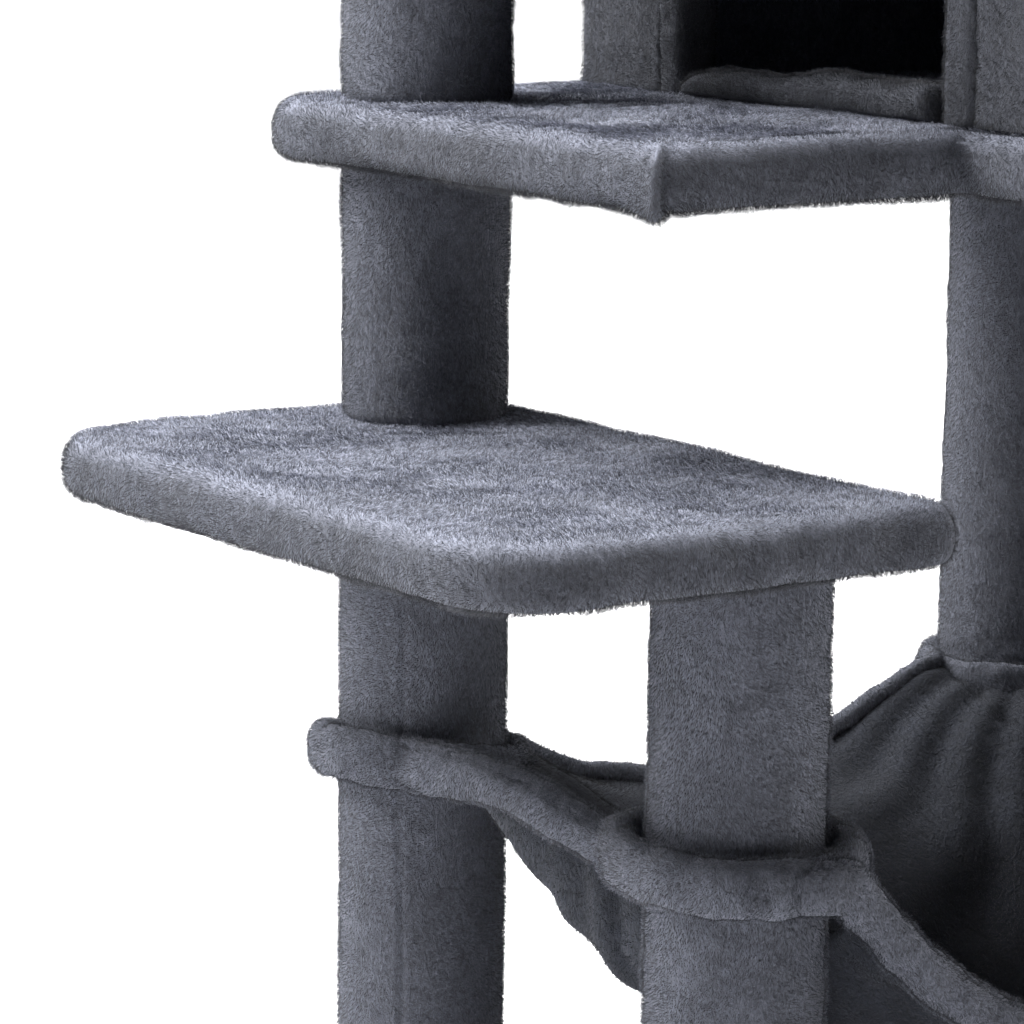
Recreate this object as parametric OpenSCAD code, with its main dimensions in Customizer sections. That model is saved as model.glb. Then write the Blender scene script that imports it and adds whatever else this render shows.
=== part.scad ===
// Free-standing cat tree: a base, four padded posts, two plush platforms, a
// walk-in condo with a roof deck, and a sling hammock hung on the posts.
// Units are millimetres. +Z is up, Z = 0 is the floor, X = Y = 0 is the centre
// of the base. -X is the side with the low step, +X is the condo side.

/* [Overall heights] */
// Thickness of every platform, board and plush together
deck_t = 30; // [28:1:34]
// Height of the lower platform's top above the floor
low_top = 440; // [420:5:470]
// Height of the upper platform's top above the floor
up_top = 588; // [580:1:640]
// Inside-to-outside height of the condo walls
condo_h = 300; // [270:5:340]

/* [Posts] */
// Radius of a post over its plush sleeve
post_r = 40; // [38:0.5:44]
// Thickness of the plush sleeve
sleeve_t = 4; // [3:0.5:5]
// Wall of the paperboard tube
tube_wall = 5; // [4:0.5:7]
// Thickness of the wooden disc glued into each tube end
plug_t = 25; // [18:1:30]

/* [Boards and covers] */
// Plush thickness on the top and the edges of a deck
plush_t = 6; // [5:0.5:7]
// Thickness of the liner that closes the underside of a deck
liner_t = 3; // [2:0.5:4]
// Width of the plush that is turned under each deck
turn_under = 35; // [25:1:45]
// Plan radius of the rounded outer corners of the lower platform
step_corner_r = 48; // [30:1:60]
// Plan radius of the other rounded deck corners
corner_r = 30; // [22:1:45]
// Plan radius of the tight corners next to the posts
tight_r = 13; // [10:1:16]

/* [Base] */
// Size of the base along X
base_x = 560; // [540:5:640]
// Size of the base along Y
base_y = 440; // [420:5:500]

/* [Condo] */
// Thickness of a condo wall, board and plush together
wall_t = 20; // [18:1:24]
// Clear width of the doorway
door_w = 187; // [150:1:200]
// Height of the doorway's top above the upper platform
door_h = 215; // [180:5:230]
// Radius of the doorway's upper corners
door_r = 40; // [25:1:60]
// Width of the rolled binding on the wall face
binding_w = 19; // [14:1:22]
// Height of the padded sill
sill_h = 15; // [12:1:20]

/* [Hammock] */
// Running gap between a loop and the post's plush
loop_gap = 0.6; // [0.4:0.1:2]
// Radial thickness of a rolled loop
loop_w = 14; // [10:1:16]
// Height of a rolled loop
loop_h = 27; // [22:1:32]
// Radius of the rolled rim between two loops
rim_r = 10.5; // [8:0.5:12]
// Thickness of the sling, two layers of plush back to back
sling_t = 6; // [4:0.5:8]
// Extra depth of the sling's belly at its centre
belly = 78; // [50:1:84]

/* [Hidden] */

$fn = 64;
e = 0.5;
slate = "#4f5463";
slate_dark = "#454a58";
kraft = "#b08a5f";
timber = "#c9a877";
steel = "#a9adb3";
felt = "#33363f";

// Post axes
tall = [-180, 130];
step = [-176, -108];
rear = [193, 130];
side = [193, -108];

// Deck outlines: x0, y0, x1, y1
low_box = [-362, -192, -119, 191];
ledge_box = [-241, -129, -60, 191];
condo_box = [-76, -192, 250, 191];
roof_box = [-241, -192, 250, 191];
wall_box = [-62, -177, 236, 177];

board_t = deck_t - plush_t - liner_t;
// The boards stop this far inside the padded edges
board_in = plush_t + 2;
tube_r = post_r - sleeve_t;
bore_r = tube_r - tube_wall;
roof_top = up_top + condo_h + deck_t;
door_y0 = -98;
door_y1 = door_y0 + door_w;
skin = 4;
board_w = wall_t - 2 * skin;
stud_r = 4;
loop_in = post_r + loop_gap;

// Heights of the loop centres
z_tall = low_top - 161;
z_step = low_top - 165;
z_rear = low_top - 164;
z_side = low_top - 165;

// ---- flat outlines -------------------------------------------------------
module round_rect(b, r, g = 0) {
  x0 = b[0] + g; y0 = b[1] + g; x1 = b[2] - g; y1 = b[3] - g; q = max(r - g, 1);
  translate([x0 + q, y0]) square([x1 - x0 - 2 * q, y1 - y0]);
  translate([x0, y0 + q]) square([x1 - x0, y1 - y0 - 2 * q]);
  for (x = [x0 + q, x1 - q], y = [y0 + q, y1 - q]) translate([x, y]) circle(r = q);
}

// The upper platform: a ledge with one rounded corner and a sharp mitred one,
// running into the wider condo floor with an inner corner between them.
module upper_outline(g = 0) {
  q = max(corner_r - g, 1);
  difference() {
    translate([ledge_box[0] + g, ledge_box[1] + g])
      square([ledge_box[2] - ledge_box[0] + 20, ledge_box[3] - ledge_box[1] - 2 * g]);
    translate([ledge_box[0] + g - 1, ledge_box[3] - g - q]) square([q + 1, q + 1]);
  }
  translate([ledge_box[0] + g + q, ledge_box[3] - g - q]) circle(r = q);
  round_rect(condo_box, 25, g);
}
module low_outline(g = 0) {
  mid = -200;
  intersection() {
    round_rect([low_box[0], low_box[1], low_box[2] + 100, low_box[3]], step_corner_r, g);
    translate([low_box[0], low_box[1]]) square([mid - low_box[0] + 1, low_box[3] - low_box[1]]);
  }
  intersection() {
    round_rect([low_box[0] - 100, low_box[1], low_box[2], low_box[3]], tight_r, g);
    translate([mid, low_box[1]]) square([low_box[2] - mid, low_box[3] - low_box[1]]);
  }
}
module roof_outline(g = 0) { round_rect(roof_box, corner_r, g); }
module base_outline(g = 0) {
  round_rect([-base_x / 2, -base_y / 2, base_x / 2, base_y / 2], corner_r, g);
}

module holes(points, r, z0, h) {
  for (p = points) translate([p[0], p[1], z0]) cylinder(r = r, h = h);
}

// ---- a padded deck in three layers ---------------------------------------
module deck_cover(top) {
  z0 = top - deck_t;
  difference() {
    translate([0, 0, z0]) linear_extrude(deck_t) children(0);
    translate([0, 0, z0 + liner_t]) linear_extrude(board_t) children(1);
    translate([0, 0, z0 - 1]) linear_extrude(liner_t + 2) children(2);
  }
}
module deck_board(top) {
  translate([0, 0, top - deck_t + liner_t]) linear_extrude(board_t) children(0);
}
module deck_liner(top) {
  translate([0, 0, top - deck_t]) linear_extrude(liner_t) children(0);
}

// ---- posts ----------------------------------------------------------------
module tube(p, z0, z1) {
  translate([p[0], p[1], z0]) difference() {
    cylinder(r = tube_r, h = z1 - z0);
    translate([0, 0, -1]) cylinder(r = bore_r, h = z1 - z0 + 2);
  }
}
module sleeve(p, z0, z1) {
  translate([p[0], p[1], z0]) difference() {
    cylinder(r = post_r, h = z1 - z0, $fn = 96);
    translate([0, 0, -1]) cylinder(r = tube_r, h = z1 - z0 + 2);
  }
}
module plugs(p, z0, z1) {
  for (z = [z0, z1 - plug_t]) translate([p[0], p[1], z]) difference() {
    cylinder(r = bore_r, h = plug_t);
    translate([0, 0, -1]) cylinder(r = stud_r, h = plug_t + 2);
  }
}
base_top = deck_t;
low_under = low_top - deck_t;
up_under = up_top - deck_t;
roof_under = roof_top - deck_t;

// ---- base ------------------------------------------------------------------
posts = [tall, step, rear, side];
module base_board() color(timber) difference() {
  deck_board(base_top) base_outline(board_in);
  holes(posts, stud_r + e, 0, deck_t);
  holes(posts, 13, 0, liner_t + 8);
}
module base_cover() color(slate) difference() {
  deck_cover(base_top) { base_outline(); base_outline(board_in); base_outline(turn_under); }
  holes(posts, stud_r + e, deck_t - plush_t - 1, plush_t + 2);
}
module base_liner() color(felt) deck_liner(base_top) base_outline(turn_under);

// ---- lower platform --------------------------------------------------------
module lower_platform_board() color(timber) difference() {
  deck_board(low_top) low_outline(board_in);
  holes([tall, step], stud_r + e, low_under, deck_t);
  holes([step], 13, low_top - plush_t - 9, 20);
}
module lower_platform_cover() color(slate) difference() {
  deck_cover(low_top) { low_outline(); low_outline(board_in); low_outline(turn_under); }
  holes([tall], stud_r + e, low_under - 1, deck_t + 2);
}
module lower_platform_liner() color(felt) difference() {
  deck_liner(low_top) low_outline(turn_under);
  holes([tall, step], stud_r + e, low_under - 1, liner_t + 2);
}

// ---- upper platform and condo floor ----------------------------------------
module upper_platform_board() color(timber) difference() {
  deck_board(up_top) upper_outline(board_in);
  holes([tall, rear, side], stud_r + e, up_under, deck_t);
  holes([rear, side], 13, up_top - plush_t - 9, 20);
  screw_bores();
}
module upper_platform_cover() color(slate) difference() {
  deck_cover(up_top) { upper_outline(); upper_outline(board_in); upper_outline(turn_under); }
  holes([tall], stud_r + e, up_under - 1, deck_t + 2);
  screw_bores();
}
module upper_platform_liner() color(felt) difference() {
  deck_liner(up_top) upper_outline(turn_under);
  holes([tall, rear, side], stud_r + e, up_under - 1, liner_t + 2);
  screw_bores();
}

// ---- roof deck --------------------------------------------------------------
module roof_board() color(timber) difference() {
  deck_board(roof_top) roof_outline(board_in);
  holes([tall], stud_r + e, roof_under, deck_t);
  holes([tall], 13, roof_top - plush_t - 9, 20);
  screw_bores();
}
module roof_cover() color(slate) difference() {
  deck_cover(roof_top) { roof_outline(); roof_outline(board_in); roof_outline(turn_under); }
  screw_bores();
}
module roof_liner() color(felt) difference() {
  deck_liner(roof_top) roof_outline(turn_under);
  holes([tall], stud_r + e, roof_under - 1, liner_t + 2);
  screw_bores();
}

// ---- condo walls -------------------------------------------------------------
wx0 = wall_box[0]; wy0 = wall_box[1]; wx1 = wall_box[2]; wy1 = wall_box[3];
// Doorway outline seen along X, grown outwards by g
module door_shape(g) {
  w = door_w + 2 * g; h = door_h + g; q = door_r + g;
  translate([-w / 2, -20]) square([w, h + 20 - q]);
  translate([-w / 2 + q, -20]) square([w - 2 * q, h + 20]);
  for (s = [-1, 1]) translate([s * (w / 2 - q), h - q]) circle(r = q);
}
module along_x(x0, x1) {
  translate([x0, (door_y0 + door_y1) / 2, up_top]) rotate([90, 0, 90]) linear_extrude(x1 - x0) children();
}
module door_cut(x0, x1, g) { along_x(x0, x1) door_shape(g); }
module wall(x0, y0, x1, y1) {
  translate([x0, y0, up_top]) cube([x1 - x0, y1 - y0, condo_h]);
}
module condo_front_panel() color(timber) difference() {
  wall(wx0 + skin, wy0 + skin, wx0 + skin + board_w, wy1 - skin);
  door_cut(wx0, wx0 + wall_t, skin);
  screw_bores();
}
module condo_rear_panel() color(timber) difference() {
  wall(wx1 - skin - board_w, wy0 + skin, wx1 - skin, wy1 - skin);
  screw_bores();
}
module condo_left_panel() color(timber) difference() {
  wall(wx0 + skin + board_w, wy1 - skin - board_w, wx1 - skin - board_w, wy1 - skin);
  screw_bores();
}
module condo_right_panel() color(timber) difference() {
  wall(wx0 + skin + board_w, wy0 + skin, wx1 - skin - board_w, wy0 + skin + board_w);
  screw_bores();
}
module condo_outer_cover() color(slate) difference() {
  translate([0, 0, up_top]) linear_extrude(condo_h) round_rect(wall_box, 8);
  wall(wx0 + skin, wy0 + skin, wx1 - skin, wy1 - skin);
  translate([0, 0, -1]) wall(wx0 + skin, wy0 + skin, wx1 - skin, wy1 - skin);
  translate([0, 0, 1]) wall(wx0 + skin, wy0 + skin, wx1 - skin, wy1 - skin);
  door_cut(wx0 - 5, wx0 + wall_t, binding_w);
}
module condo_lining() color(slate_dark) difference() {
  wall(wx0 + skin + board_w, wy0 + skin + board_w, wx1 - skin - board_w, wy1 - skin - board_w);
  translate([0, 0, -1]) wall(wx0 + wall_t, wy0 + wall_t, wx1 - wall_t, wy1 - wall_t);
  translate([0, 0, 1]) wall(wx0 + wall_t, wy0 + wall_t, wx1 - wall_t, wy1 - wall_t);
  door_cut(wx0, wx0 + wall_t + 5, binding_w);
}
// Rolled strip that wraps the raw edge of the doorway on both faces
module doorway_binding() color(slate) difference() {
  union() {
    door_cut(wx0 - 2, wx0 + skin, binding_w);
    door_cut(wx0 + skin, wx0 + skin + board_w, skin);
    door_cut(wx0 + skin + board_w, wx0 + wall_t + 2, binding_w);
  }
  door_cut(wx0 - 10, wx0 + wall_t + 10, 0);
  translate([wx0 - 20, wy0, up_top - 40]) cube([wall_t + 40, wy1 - wy0, 40]);
}
module doorway_sill() color(slate) {
  r = sill_h / 2;
  translate([wx0 - 1, door_y0, up_top]) difference() {
    union() {
      translate([0, 0, r]) rotate([-90, 0, 0]) cylinder(r = r, h = door_w, $fn = 48);
      cube([r + 8, door_w, sill_h]);
      translate([-r, 0, 0]) cube([r, door_w, r]);
    }
    translate([-r - 1, -1, -30]) cube([40, door_w + 2, 30]);
  }
}

// ---- fasteners ---------------------------------------------------------------
module bolt_up(p) {
  translate([p[0], p[1], liner_t]) {
    cylinder(r = 6.5, h = 5.5, $fn = 6);
    translate([0, 0, 5.5]) cylinder(r = stud_r, h = base_top + plug_t - liner_t - 5.5);
  }
}
module base_bolts() color(steel) for (p = posts) bolt_up(p);
module bolt_down(p, top) {
  translate([p[0], p[1], top - plush_t]) {
    translate([0, 0, -6]) cylinder(r = 6.5, h = 5.5, $fn = 6);
    translate([0, 0, -6 - (deck_t - plush_t - 6) - plug_t])
      cylinder(r = stud_r, h = deck_t - plush_t - 6 + plug_t);
  }
}
module platform_bolts() color(steel) {
  bolt_down(step, low_top);
  bolt_down(rear, up_top);
  bolt_down(side, up_top);
  bolt_down(tall, roof_top);
}
module washer(p, z, h) {
  translate([p[0], p[1], z]) difference() {
    cylinder(r = 12, h = h);
    translate([0, 0, -1]) cylinder(r = stud_r + e / 2, h = h + 2);
  }
}
module bolt_washers() color(steel) {
  for (p = posts) washer(p, liner_t + 5.5, 2.5);
  washer(step, low_top - plush_t - 9, 3);
  washer(rear, up_top - plush_t - 9, 3);
  washer(side, up_top - plush_t - 9, 3);
  washer(tall, roof_top - plush_t - 9, 3);
}
module joining_studs() color(steel) {
  for (z = [low_under, up_under])
    translate([tall[0], tall[1], z - plug_t]) cylinder(r = stud_r, h = deck_t + 2 * plug_t);
}
// Screw positions along the centre lines of the condo boards
mid_f = wx0 + skin + board_w / 2;
mid_r = wx1 - skin - board_w / 2;
mid_a = wy1 - skin - board_w / 2;
mid_b = wy0 + skin + board_w / 2;
screw_xy = [[mid_f, 140], [mid_f, -145], [mid_r, 110], [mid_r, -120],
            [30, mid_a], [150, mid_a], [30, mid_b], [150, mid_b]];
module screws() {
  for (p = screw_xy) {
    translate([p[0], p[1], up_under + liner_t]) cylinder(r = 2, h = 50, $fn = 24);
    translate([p[0], p[1], roof_top - plush_t - 50]) cylinder(r = 2, h = 50, $fn = 24);
  }
}
module screw_bores() { screws(); }
module condo_screws() color(steel) screws();

// ---- hammock -------------------------------------------------------------------
// The sling is a four-cornered sheet: straight-edged in plan, its four edges sag
// by different amounts, and a belly is added that is fullest in the middle.
function bump(t) = 4 * t * (1 - t);
sag_left = 8;
sag_right = 8;
sag_rear = 45;
sag_front = 98;
z1 = low_top - 156;
z2 = low_top - 166;
z3 = low_top - 128;
z4 = low_top - 162;
function edge_left(v) = z1 * (1 - v) + z2 * v - sag_left * bump(v);
function edge_right(v) = z3 * (1 - v) + z4 * v - sag_right * bump(v);
function edge_rear(u) = z1 * (1 - u) + z3 * u - sag_rear * bump(u);
function edge_front(u) = z2 * (1 - u) + z4 * u - sag_front * pow(bump(u), 1.3);
function coons(u, v) =
  (1 - u) * edge_left(v) + u * edge_right(v) + (1 - v) * edge_rear(u) + v * edge_front(u)
  - ((1 - u) * (1 - v) * z1 + u * (1 - v) * z3 + (1 - u) * v * z2 + u * v * z4);
function sling_z(u, v) = coons(u, v) - belly * pow(bump(u), 0.42) * pow(bump(pow(v, 1.2)), 1.4);
// Even spacing in plan, closer together near the edges
function ease(t) = 0.5 - 0.5 * cos(180 * t);
nu = 22;
nv = 16;
function sling_pt(i, j, dz) =
  let (u = ease(i / nu), v = ease(j / nv))
  [tall[0] + (rear[0] - tall[0]) * u, tall[1] + (front_y - tall[1]) * v, sling_z(u, v) + dz];
function grid(dz) = [for (i = [0 : nu]) for (j = [0 : nv]) sling_pt(i, j, dz)];
module sling_solid() {
  n = (nu + 1) * (nv + 1);
  w = nv + 1;
  top = [for (i = [0 : nu - 1]) for (j = [0 : nv - 1]) for (k = [0, 1])
    k == 0 ? [i * w + j, i * w + j + 1, (i + 1) * w + j + 1]
           : [i * w + j, (i + 1) * w + j + 1, (i + 1) * w + j]];
  bottom = [for (f = top) [f[2] + n, f[1] + n, f[0] + n]];
  rim_a = [for (i = [0 : nu - 1]) each [
    [i * w, (i + 1) * w, i * w + n], [(i + 1) * w, (i + 1) * w + n, i * w + n]]];
  rim_b = [for (i = [0 : nu - 1]) each [
    [(i + 1) * w + nv, i * w + nv, i * w + nv + n],
    [(i + 1) * w + nv, i * w + nv + n, (i + 1) * w + nv + n]]];
  rim_c = [for (j = [0 : nv - 1]) each [
    [j + 1, j, j + n], [j + 1, j + n, j + 1 + n]]];
  rim_d = [for (j = [0 : nv - 1]) each [
    [nu * w + j, nu * w + j + 1, nu * w + j + n],
    [nu * w + j + 1, nu * w + j + 1 + n, nu * w + j + n]]];
  polyhedron(points = concat(grid(0), grid(-sling_t)),
             faces = concat(top, bottom, rim_a, rim_b, rim_c, rim_d), convexity = 6);
}
module hammock_sling() color(slate_dark) difference() {
  sling_solid();
  for (p = posts) translate([p[0], p[1], 60]) cylinder(r = post_r + 3, h = 300, $fn = 48);
  for (p = [step, side]) translate([p[0] - post_r, p[1] - post_r - 20, 60])
    cube([2 * post_r, post_r, 300]);
}

// The front rim passes outside the two front posts
front_y = step[1] - loop_in - loop_w / 2;

// A round tube swept along a list of points
function unit(a) = a / norm(a);
function ring(pts, i, r, m) =
  let (k = len(pts) - 1,
       d = unit(pts[min(i + 1, k)] - pts[max(i - 1, 0)]),
       s = unit(cross(d, [0, 0, 1])), t = cross(s, d))
  [for (a = [0 : m - 1]) pts[i] + r * (cos(360 * a / m) * s + sin(360 * a / m) * t)];
module sweep(pts, r, m = 14) {
  k = len(pts);
  vs = [for (i = [0 : k - 1]) each ring(pts, i, r, m)];
  sides = [for (i = [0 : k - 2]) for (a = [0 : m - 1])
    [i * m + a, i * m + (a + 1) % m, (i + 1) * m + (a + 1) % m, (i + 1) * m + a]];
  ends = [[for (a = [0 : m - 1]) m - 1 - a], [for (a = [0 : m - 1]) (k - 1) * m + a]];
  polyhedron(points = vs, faces = concat(sides, ends), convexity = 6);
}
rim_gap = loop_in + loop_w - 3;
function lerp(a, b, t) = a + (b - a) * t;
module hammock_rim_left() color(slate)
  sweep([for (k = [0 : 10]) let (y = lerp(tall[1] - rim_gap, step[1] + rim_gap, k / 10),
         v = (tall[1] - y) / (tall[1] - step[1])) [lerp(tall[0], step[0], v), y, edge_left(v)]], rim_r);
module hammock_rim_right() color(slate)
  sweep([for (k = [0 : 10]) let (y = lerp(rear[1] - rim_gap, side[1] + rim_gap, k / 10),
         v = (rear[1] - y) / (rear[1] - side[1])) [rear[0], y, edge_right(v)]], rim_r);
module hammock_rim_front() color(slate)
  sweep([for (k = [0 : 22]) let (x = lerp(step[0] + 22, side[0] - 22, k / 22),
         u = (x - tall[0]) / (rear[0] - tall[0])) [x, front_y, edge_front(u)]], rim_r);
module hammock_rear_hem() color(slate)
  sweep([for (k = [0 : 18]) let (x = lerp(tall[0] + rim_gap, rear[0] - rim_gap, k / 18),
         u = (x - tall[0]) / (rear[0] - tall[0])) [x, tall[1] + 1, edge_rear(u) + 1]], 4.5, 10);

// A loop is a band with rounded edges that runs once round its post
module loop(p, z, w, h) {
  translate([p[0], p[1], z]) rotate_extrude($fn = 72) {
    q = min(w / 2, h / 2) - 0.01;
    translate([loop_in, -h / 2 + q]) square([w, h - 2 * q]);
    translate([loop_in + q, -h / 2]) square([w - 2 * q, h]);
    for (x = [loop_in + q, loop_in + w - q], y = [-h / 2 + q, h / 2 - q]) translate([x, y]) circle(r = q);
  }
}
module loop_tall_post() color(slate) loop(tall, z_tall, loop_w, loop_h);
module loop_step_post() color(slate) loop(step, z_step, loop_w, loop_h);
module loop_rear_post() color(slate) loop(rear, z_rear, 8, loop_h + 4);
module loop_side_post() color(slate) loop(side, z_side, loop_w, loop_h);

// ---- nodes ---------------------------------------------------------------------
module tall_post_lower_tube() color(kraft) tube(tall, base_top, low_under);
module tall_post_lower_sleeve() color(slate) sleeve(tall, base_top, low_under);
module tall_post_lower_plugs() color(timber) plugs(tall, base_top, low_under);
module tall_post_middle_tube() color(kraft) tube(tall, low_top, up_under);
module tall_post_middle_sleeve() color(slate) sleeve(tall, low_top, up_under);
module tall_post_middle_plugs() color(timber) plugs(tall, low_top, up_under);
module tall_post_upper_tube() color(kraft) tube(tall, up_top, roof_under);
module tall_post_upper_sleeve() color(slate) sleeve(tall, up_top, roof_under);
module tall_post_upper_plugs() color(timber) plugs(tall, up_top, roof_under);
module step_post_tube() color(kraft) tube(step, base_top, low_under);
module step_post_sleeve() color(slate) sleeve(step, base_top, low_under);
module step_post_plugs() color(timber) plugs(step, base_top, low_under);
module rear_post_tube() color(kraft) tube(rear, base_top, up_under);
module rear_post_sleeve() color(slate) sleeve(rear, base_top, up_under);
module rear_post_plugs() color(timber) plugs(rear, base_top, up_under);
module side_post_tube() color(kraft) tube(side, base_top, up_under);
module side_post_sleeve() color(slate) sleeve(side, base_top, up_under);
module side_post_plugs() color(timber) plugs(side, base_top, up_under);

base_board();
base_cover();
base_liner();
tall_post_lower_tube();
tall_post_lower_sleeve();
tall_post_lower_plugs();
tall_post_middle_tube();
tall_post_middle_sleeve();
tall_post_middle_plugs();
tall_post_upper_tube();
tall_post_upper_sleeve();
tall_post_upper_plugs();
step_post_tube();
step_post_sleeve();
step_post_plugs();
rear_post_tube();
rear_post_sleeve();
rear_post_plugs();
side_post_tube();
side_post_sleeve();
side_post_plugs();
lower_platform_board();
lower_platform_cover();
lower_platform_liner();
upper_platform_board();
upper_platform_cover();
upper_platform_liner();
roof_board();
roof_cover();
roof_liner();
condo_front_panel();
condo_rear_panel();
condo_left_panel();
condo_right_panel();
condo_outer_cover();
condo_lining();
doorway_binding();
doorway_sill();
base_bolts();
platform_bolts();
bolt_washers();
joining_studs();
condo_screws();
hammock_sling();
hammock_rim_left();
hammock_rim_front();
hammock_rim_right();
hammock_rear_hem();
loop_tall_post();
loop_step_post();
loop_rear_post();
loop_side_post();
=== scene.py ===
import math
import bpy
import numpy as np
from mathutils import Matrix, Vector
from mathutils.geometry import delaunay_2d_cdt


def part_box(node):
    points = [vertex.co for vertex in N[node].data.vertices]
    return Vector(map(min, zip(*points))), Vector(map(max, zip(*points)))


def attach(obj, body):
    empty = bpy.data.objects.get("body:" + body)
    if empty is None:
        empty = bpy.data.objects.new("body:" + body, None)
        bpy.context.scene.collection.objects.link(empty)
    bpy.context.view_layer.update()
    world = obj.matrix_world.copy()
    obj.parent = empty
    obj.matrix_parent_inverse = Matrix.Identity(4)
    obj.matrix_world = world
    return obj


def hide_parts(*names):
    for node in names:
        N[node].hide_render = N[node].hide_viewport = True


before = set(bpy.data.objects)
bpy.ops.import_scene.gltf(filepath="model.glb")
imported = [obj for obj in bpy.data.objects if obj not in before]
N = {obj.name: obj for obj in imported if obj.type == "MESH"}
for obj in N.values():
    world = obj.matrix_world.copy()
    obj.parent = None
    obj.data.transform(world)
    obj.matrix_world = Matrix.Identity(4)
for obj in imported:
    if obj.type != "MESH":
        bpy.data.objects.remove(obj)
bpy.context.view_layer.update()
MM = 0.001


# ---------------------------------------------------------------- camera
def make_camera():
    a, e, r = math.radians(-35.083), math.radians(9.816), math.radians(0.617)
    fwd = Vector((-math.sin(a) * math.cos(e), math.cos(a) * math.cos(e), -math.sin(e)))
    right0 = Vector((math.cos(a), math.sin(a), 0))
    up0 = right0.cross(fwd)
    right = math.cos(r) * right0 + math.sin(r) * up0
    up = -math.sin(r) * right0 + math.cos(r) * up0
    cam = bpy.data.cameras.new("camera")
    cam.sensor_width = 36.0
    cam.lens = 153.60
    cam.clip_start, cam.clip_end = 0.05, 60
    ob = bpy.data.objects.new("camera", cam)
    bpy.context.scene.collection.objects.link(ob)
    m = Matrix((right, up, -fwd)).transposed().to_4x4()
    m.translation = Vector((-1.3141, -1.5570, 0.7449))
    ob.matrix_world = m
    bpy.context.scene.camera = ob


make_camera()


# ---------------------------------------------------------------- smooth noise, seeded
def waves(seed, scale, n=10):
    """A smooth random field of about unit size, as a function of points in mm; scale is its wavelength in mm."""
    rng = np.random.default_rng(seed)
    k = rng.normal(size=(n, 3))
    k /= np.linalg.norm(k, axis=1)[:, None]
    k *= (2 * math.pi / scale) * rng.uniform(0.6, 1.5, n)[:, None]
    ph = rng.uniform(0, 2 * math.pi, n)

    def f(p):
        out = np.zeros(len(p))
        for i in range(n):
            out += np.sin(p @ k[i] + ph[i])
        return out * math.sqrt(2.0 / n)

    return f


def step01(x, a, b):
    t = np.clip((x - a) / (b - a), 0, 1)
    return t * t * (3 - 2 * t)


def gauss(x, w):
    return np.exp(-(x / w) ** 2)


# ---------------------------------------------------------------- mesh helpers (all in mm)
def normals(V, F):
    n = np.zeros_like(V)
    Q = np.array([f if len(f) == 4 else (f[0], f[1], f[2], f[2]) for f in F], dtype=np.int64)
    a = V[Q[:, 2]] - V[Q[:, 0]]
    b = V[Q[:, 3]] - V[Q[:, 1]]
    c = np.cross(a, b)
    for i in range(4):
        np.add.at(n, Q[:, i], c)
    ln = np.linalg.norm(n, axis=1)
    ln[ln == 0] = 1
    return n / ln[:, None]


def grid_faces(rows, cols, wrap_r=False, wrap_c=False, base=0):
    out = []
    for i in range(rows if wrap_r else rows - 1):
        i2 = (i + 1) % rows
        for j in range(cols if wrap_c else cols - 1):
            j2 = (j + 1) % cols
            out.append((base + i * cols + j, base + i * cols + j2, base + i2 * cols + j2, base + i2 * cols + j))
    return out


def boundary(F):
    """Directed boundary edges of a face list."""
    seen = {}
    for f in F:
        for k in range(len(f)):
            e = (f[k], f[(k + 1) % len(f)])
            seen[e] = 1
    return [e for e in seen if (e[1], e[0]) not in seen]


def thicken(V, F, t, n=None):
    """A closed shell: the given side plus a copy moved t against the normal."""
    n = normals(V, F) if n is None else n
    m = len(V)
    V2 = np.vstack([V, V - n * t])
    F2 = list(F) + [tuple(reversed([m + i for i in f])) for f in F]
    for a, b in boundary(F):
        F2.append((b, a, m + a, m + b))
    return V2, F2, len(F)


def mesh_object(name, V, F, material, body=None, node=None, pile=None, fur=None, long=None):
    me = bpy.data.meshes.new(name)
    me.from_pydata((np.asarray(V) * MM).tolist(), [], [tuple(int(i) for i in f) for f in F])
    me.validate()
    me.update()
    me.polygons.foreach_set("use_smooth", [True] * len(me.polygons))
    if pile is not None:
        at = me.attributes.new("pile", "FLOAT", "POINT")
        at.data.foreach_set("value", np.asarray(pile, dtype=np.float32))
    if long is not None:
        at = me.attributes.new("long", "FLOAT", "POINT")
        at.data.foreach_set("value", np.asarray(long, dtype=np.float32))
    me.materials.append(material)
    ob = bpy.data.objects.new(name, me)
    bpy.context.scene.collection.objects.link(ob)
    if body:
        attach(ob, body)
    if node:
        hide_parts(*([node] if isinstance(node, str) else node))
    if fur:
        add_fur(ob, **fur)
    return ob


# ---------------------------------------------------------------- materials
def nodes_of(name):
    m = bpy.data.materials.new(name)
    m.use_nodes = True
    nt = m.node_tree
    nt.nodes.clear()
    out = nt.nodes.new("ShaderNodeOutputMaterial")
    bs = nt.nodes.new("ShaderNodeBsdfPrincipled")
    nt.links.new(bs.outputs[0], out.inputs[0])
    return m, nt, bs


def noise(nt, vec, scale, detail=2.0, rough=0.5, dist=0.0):
    n = nt.nodes.new("ShaderNodeTexNoise")
    n.inputs["Scale"].default_value = scale
    n.inputs["Detail"].default_value = detail
    n.inputs["Roughness"].default_value = rough
    n.inputs["Distortion"].default_value = dist
    nt.links.new(vec, n.inputs["Vector"])
    return n


def ramp(nt, fac, stops):
    r = nt.nodes.new("ShaderNodeValToRGB")
    el = r.color_ramp.elements
    while len(el) > 1:
        el.remove(el[-1])
    for i, (p, c) in enumerate(stops):
        e = el[0] if i == 0 else el.new(p)
        e.position = p
        e.color = (c[0], c[1], c[2], 1)
    nt.links.new(fac, r.inputs[0])
    return r


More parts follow.
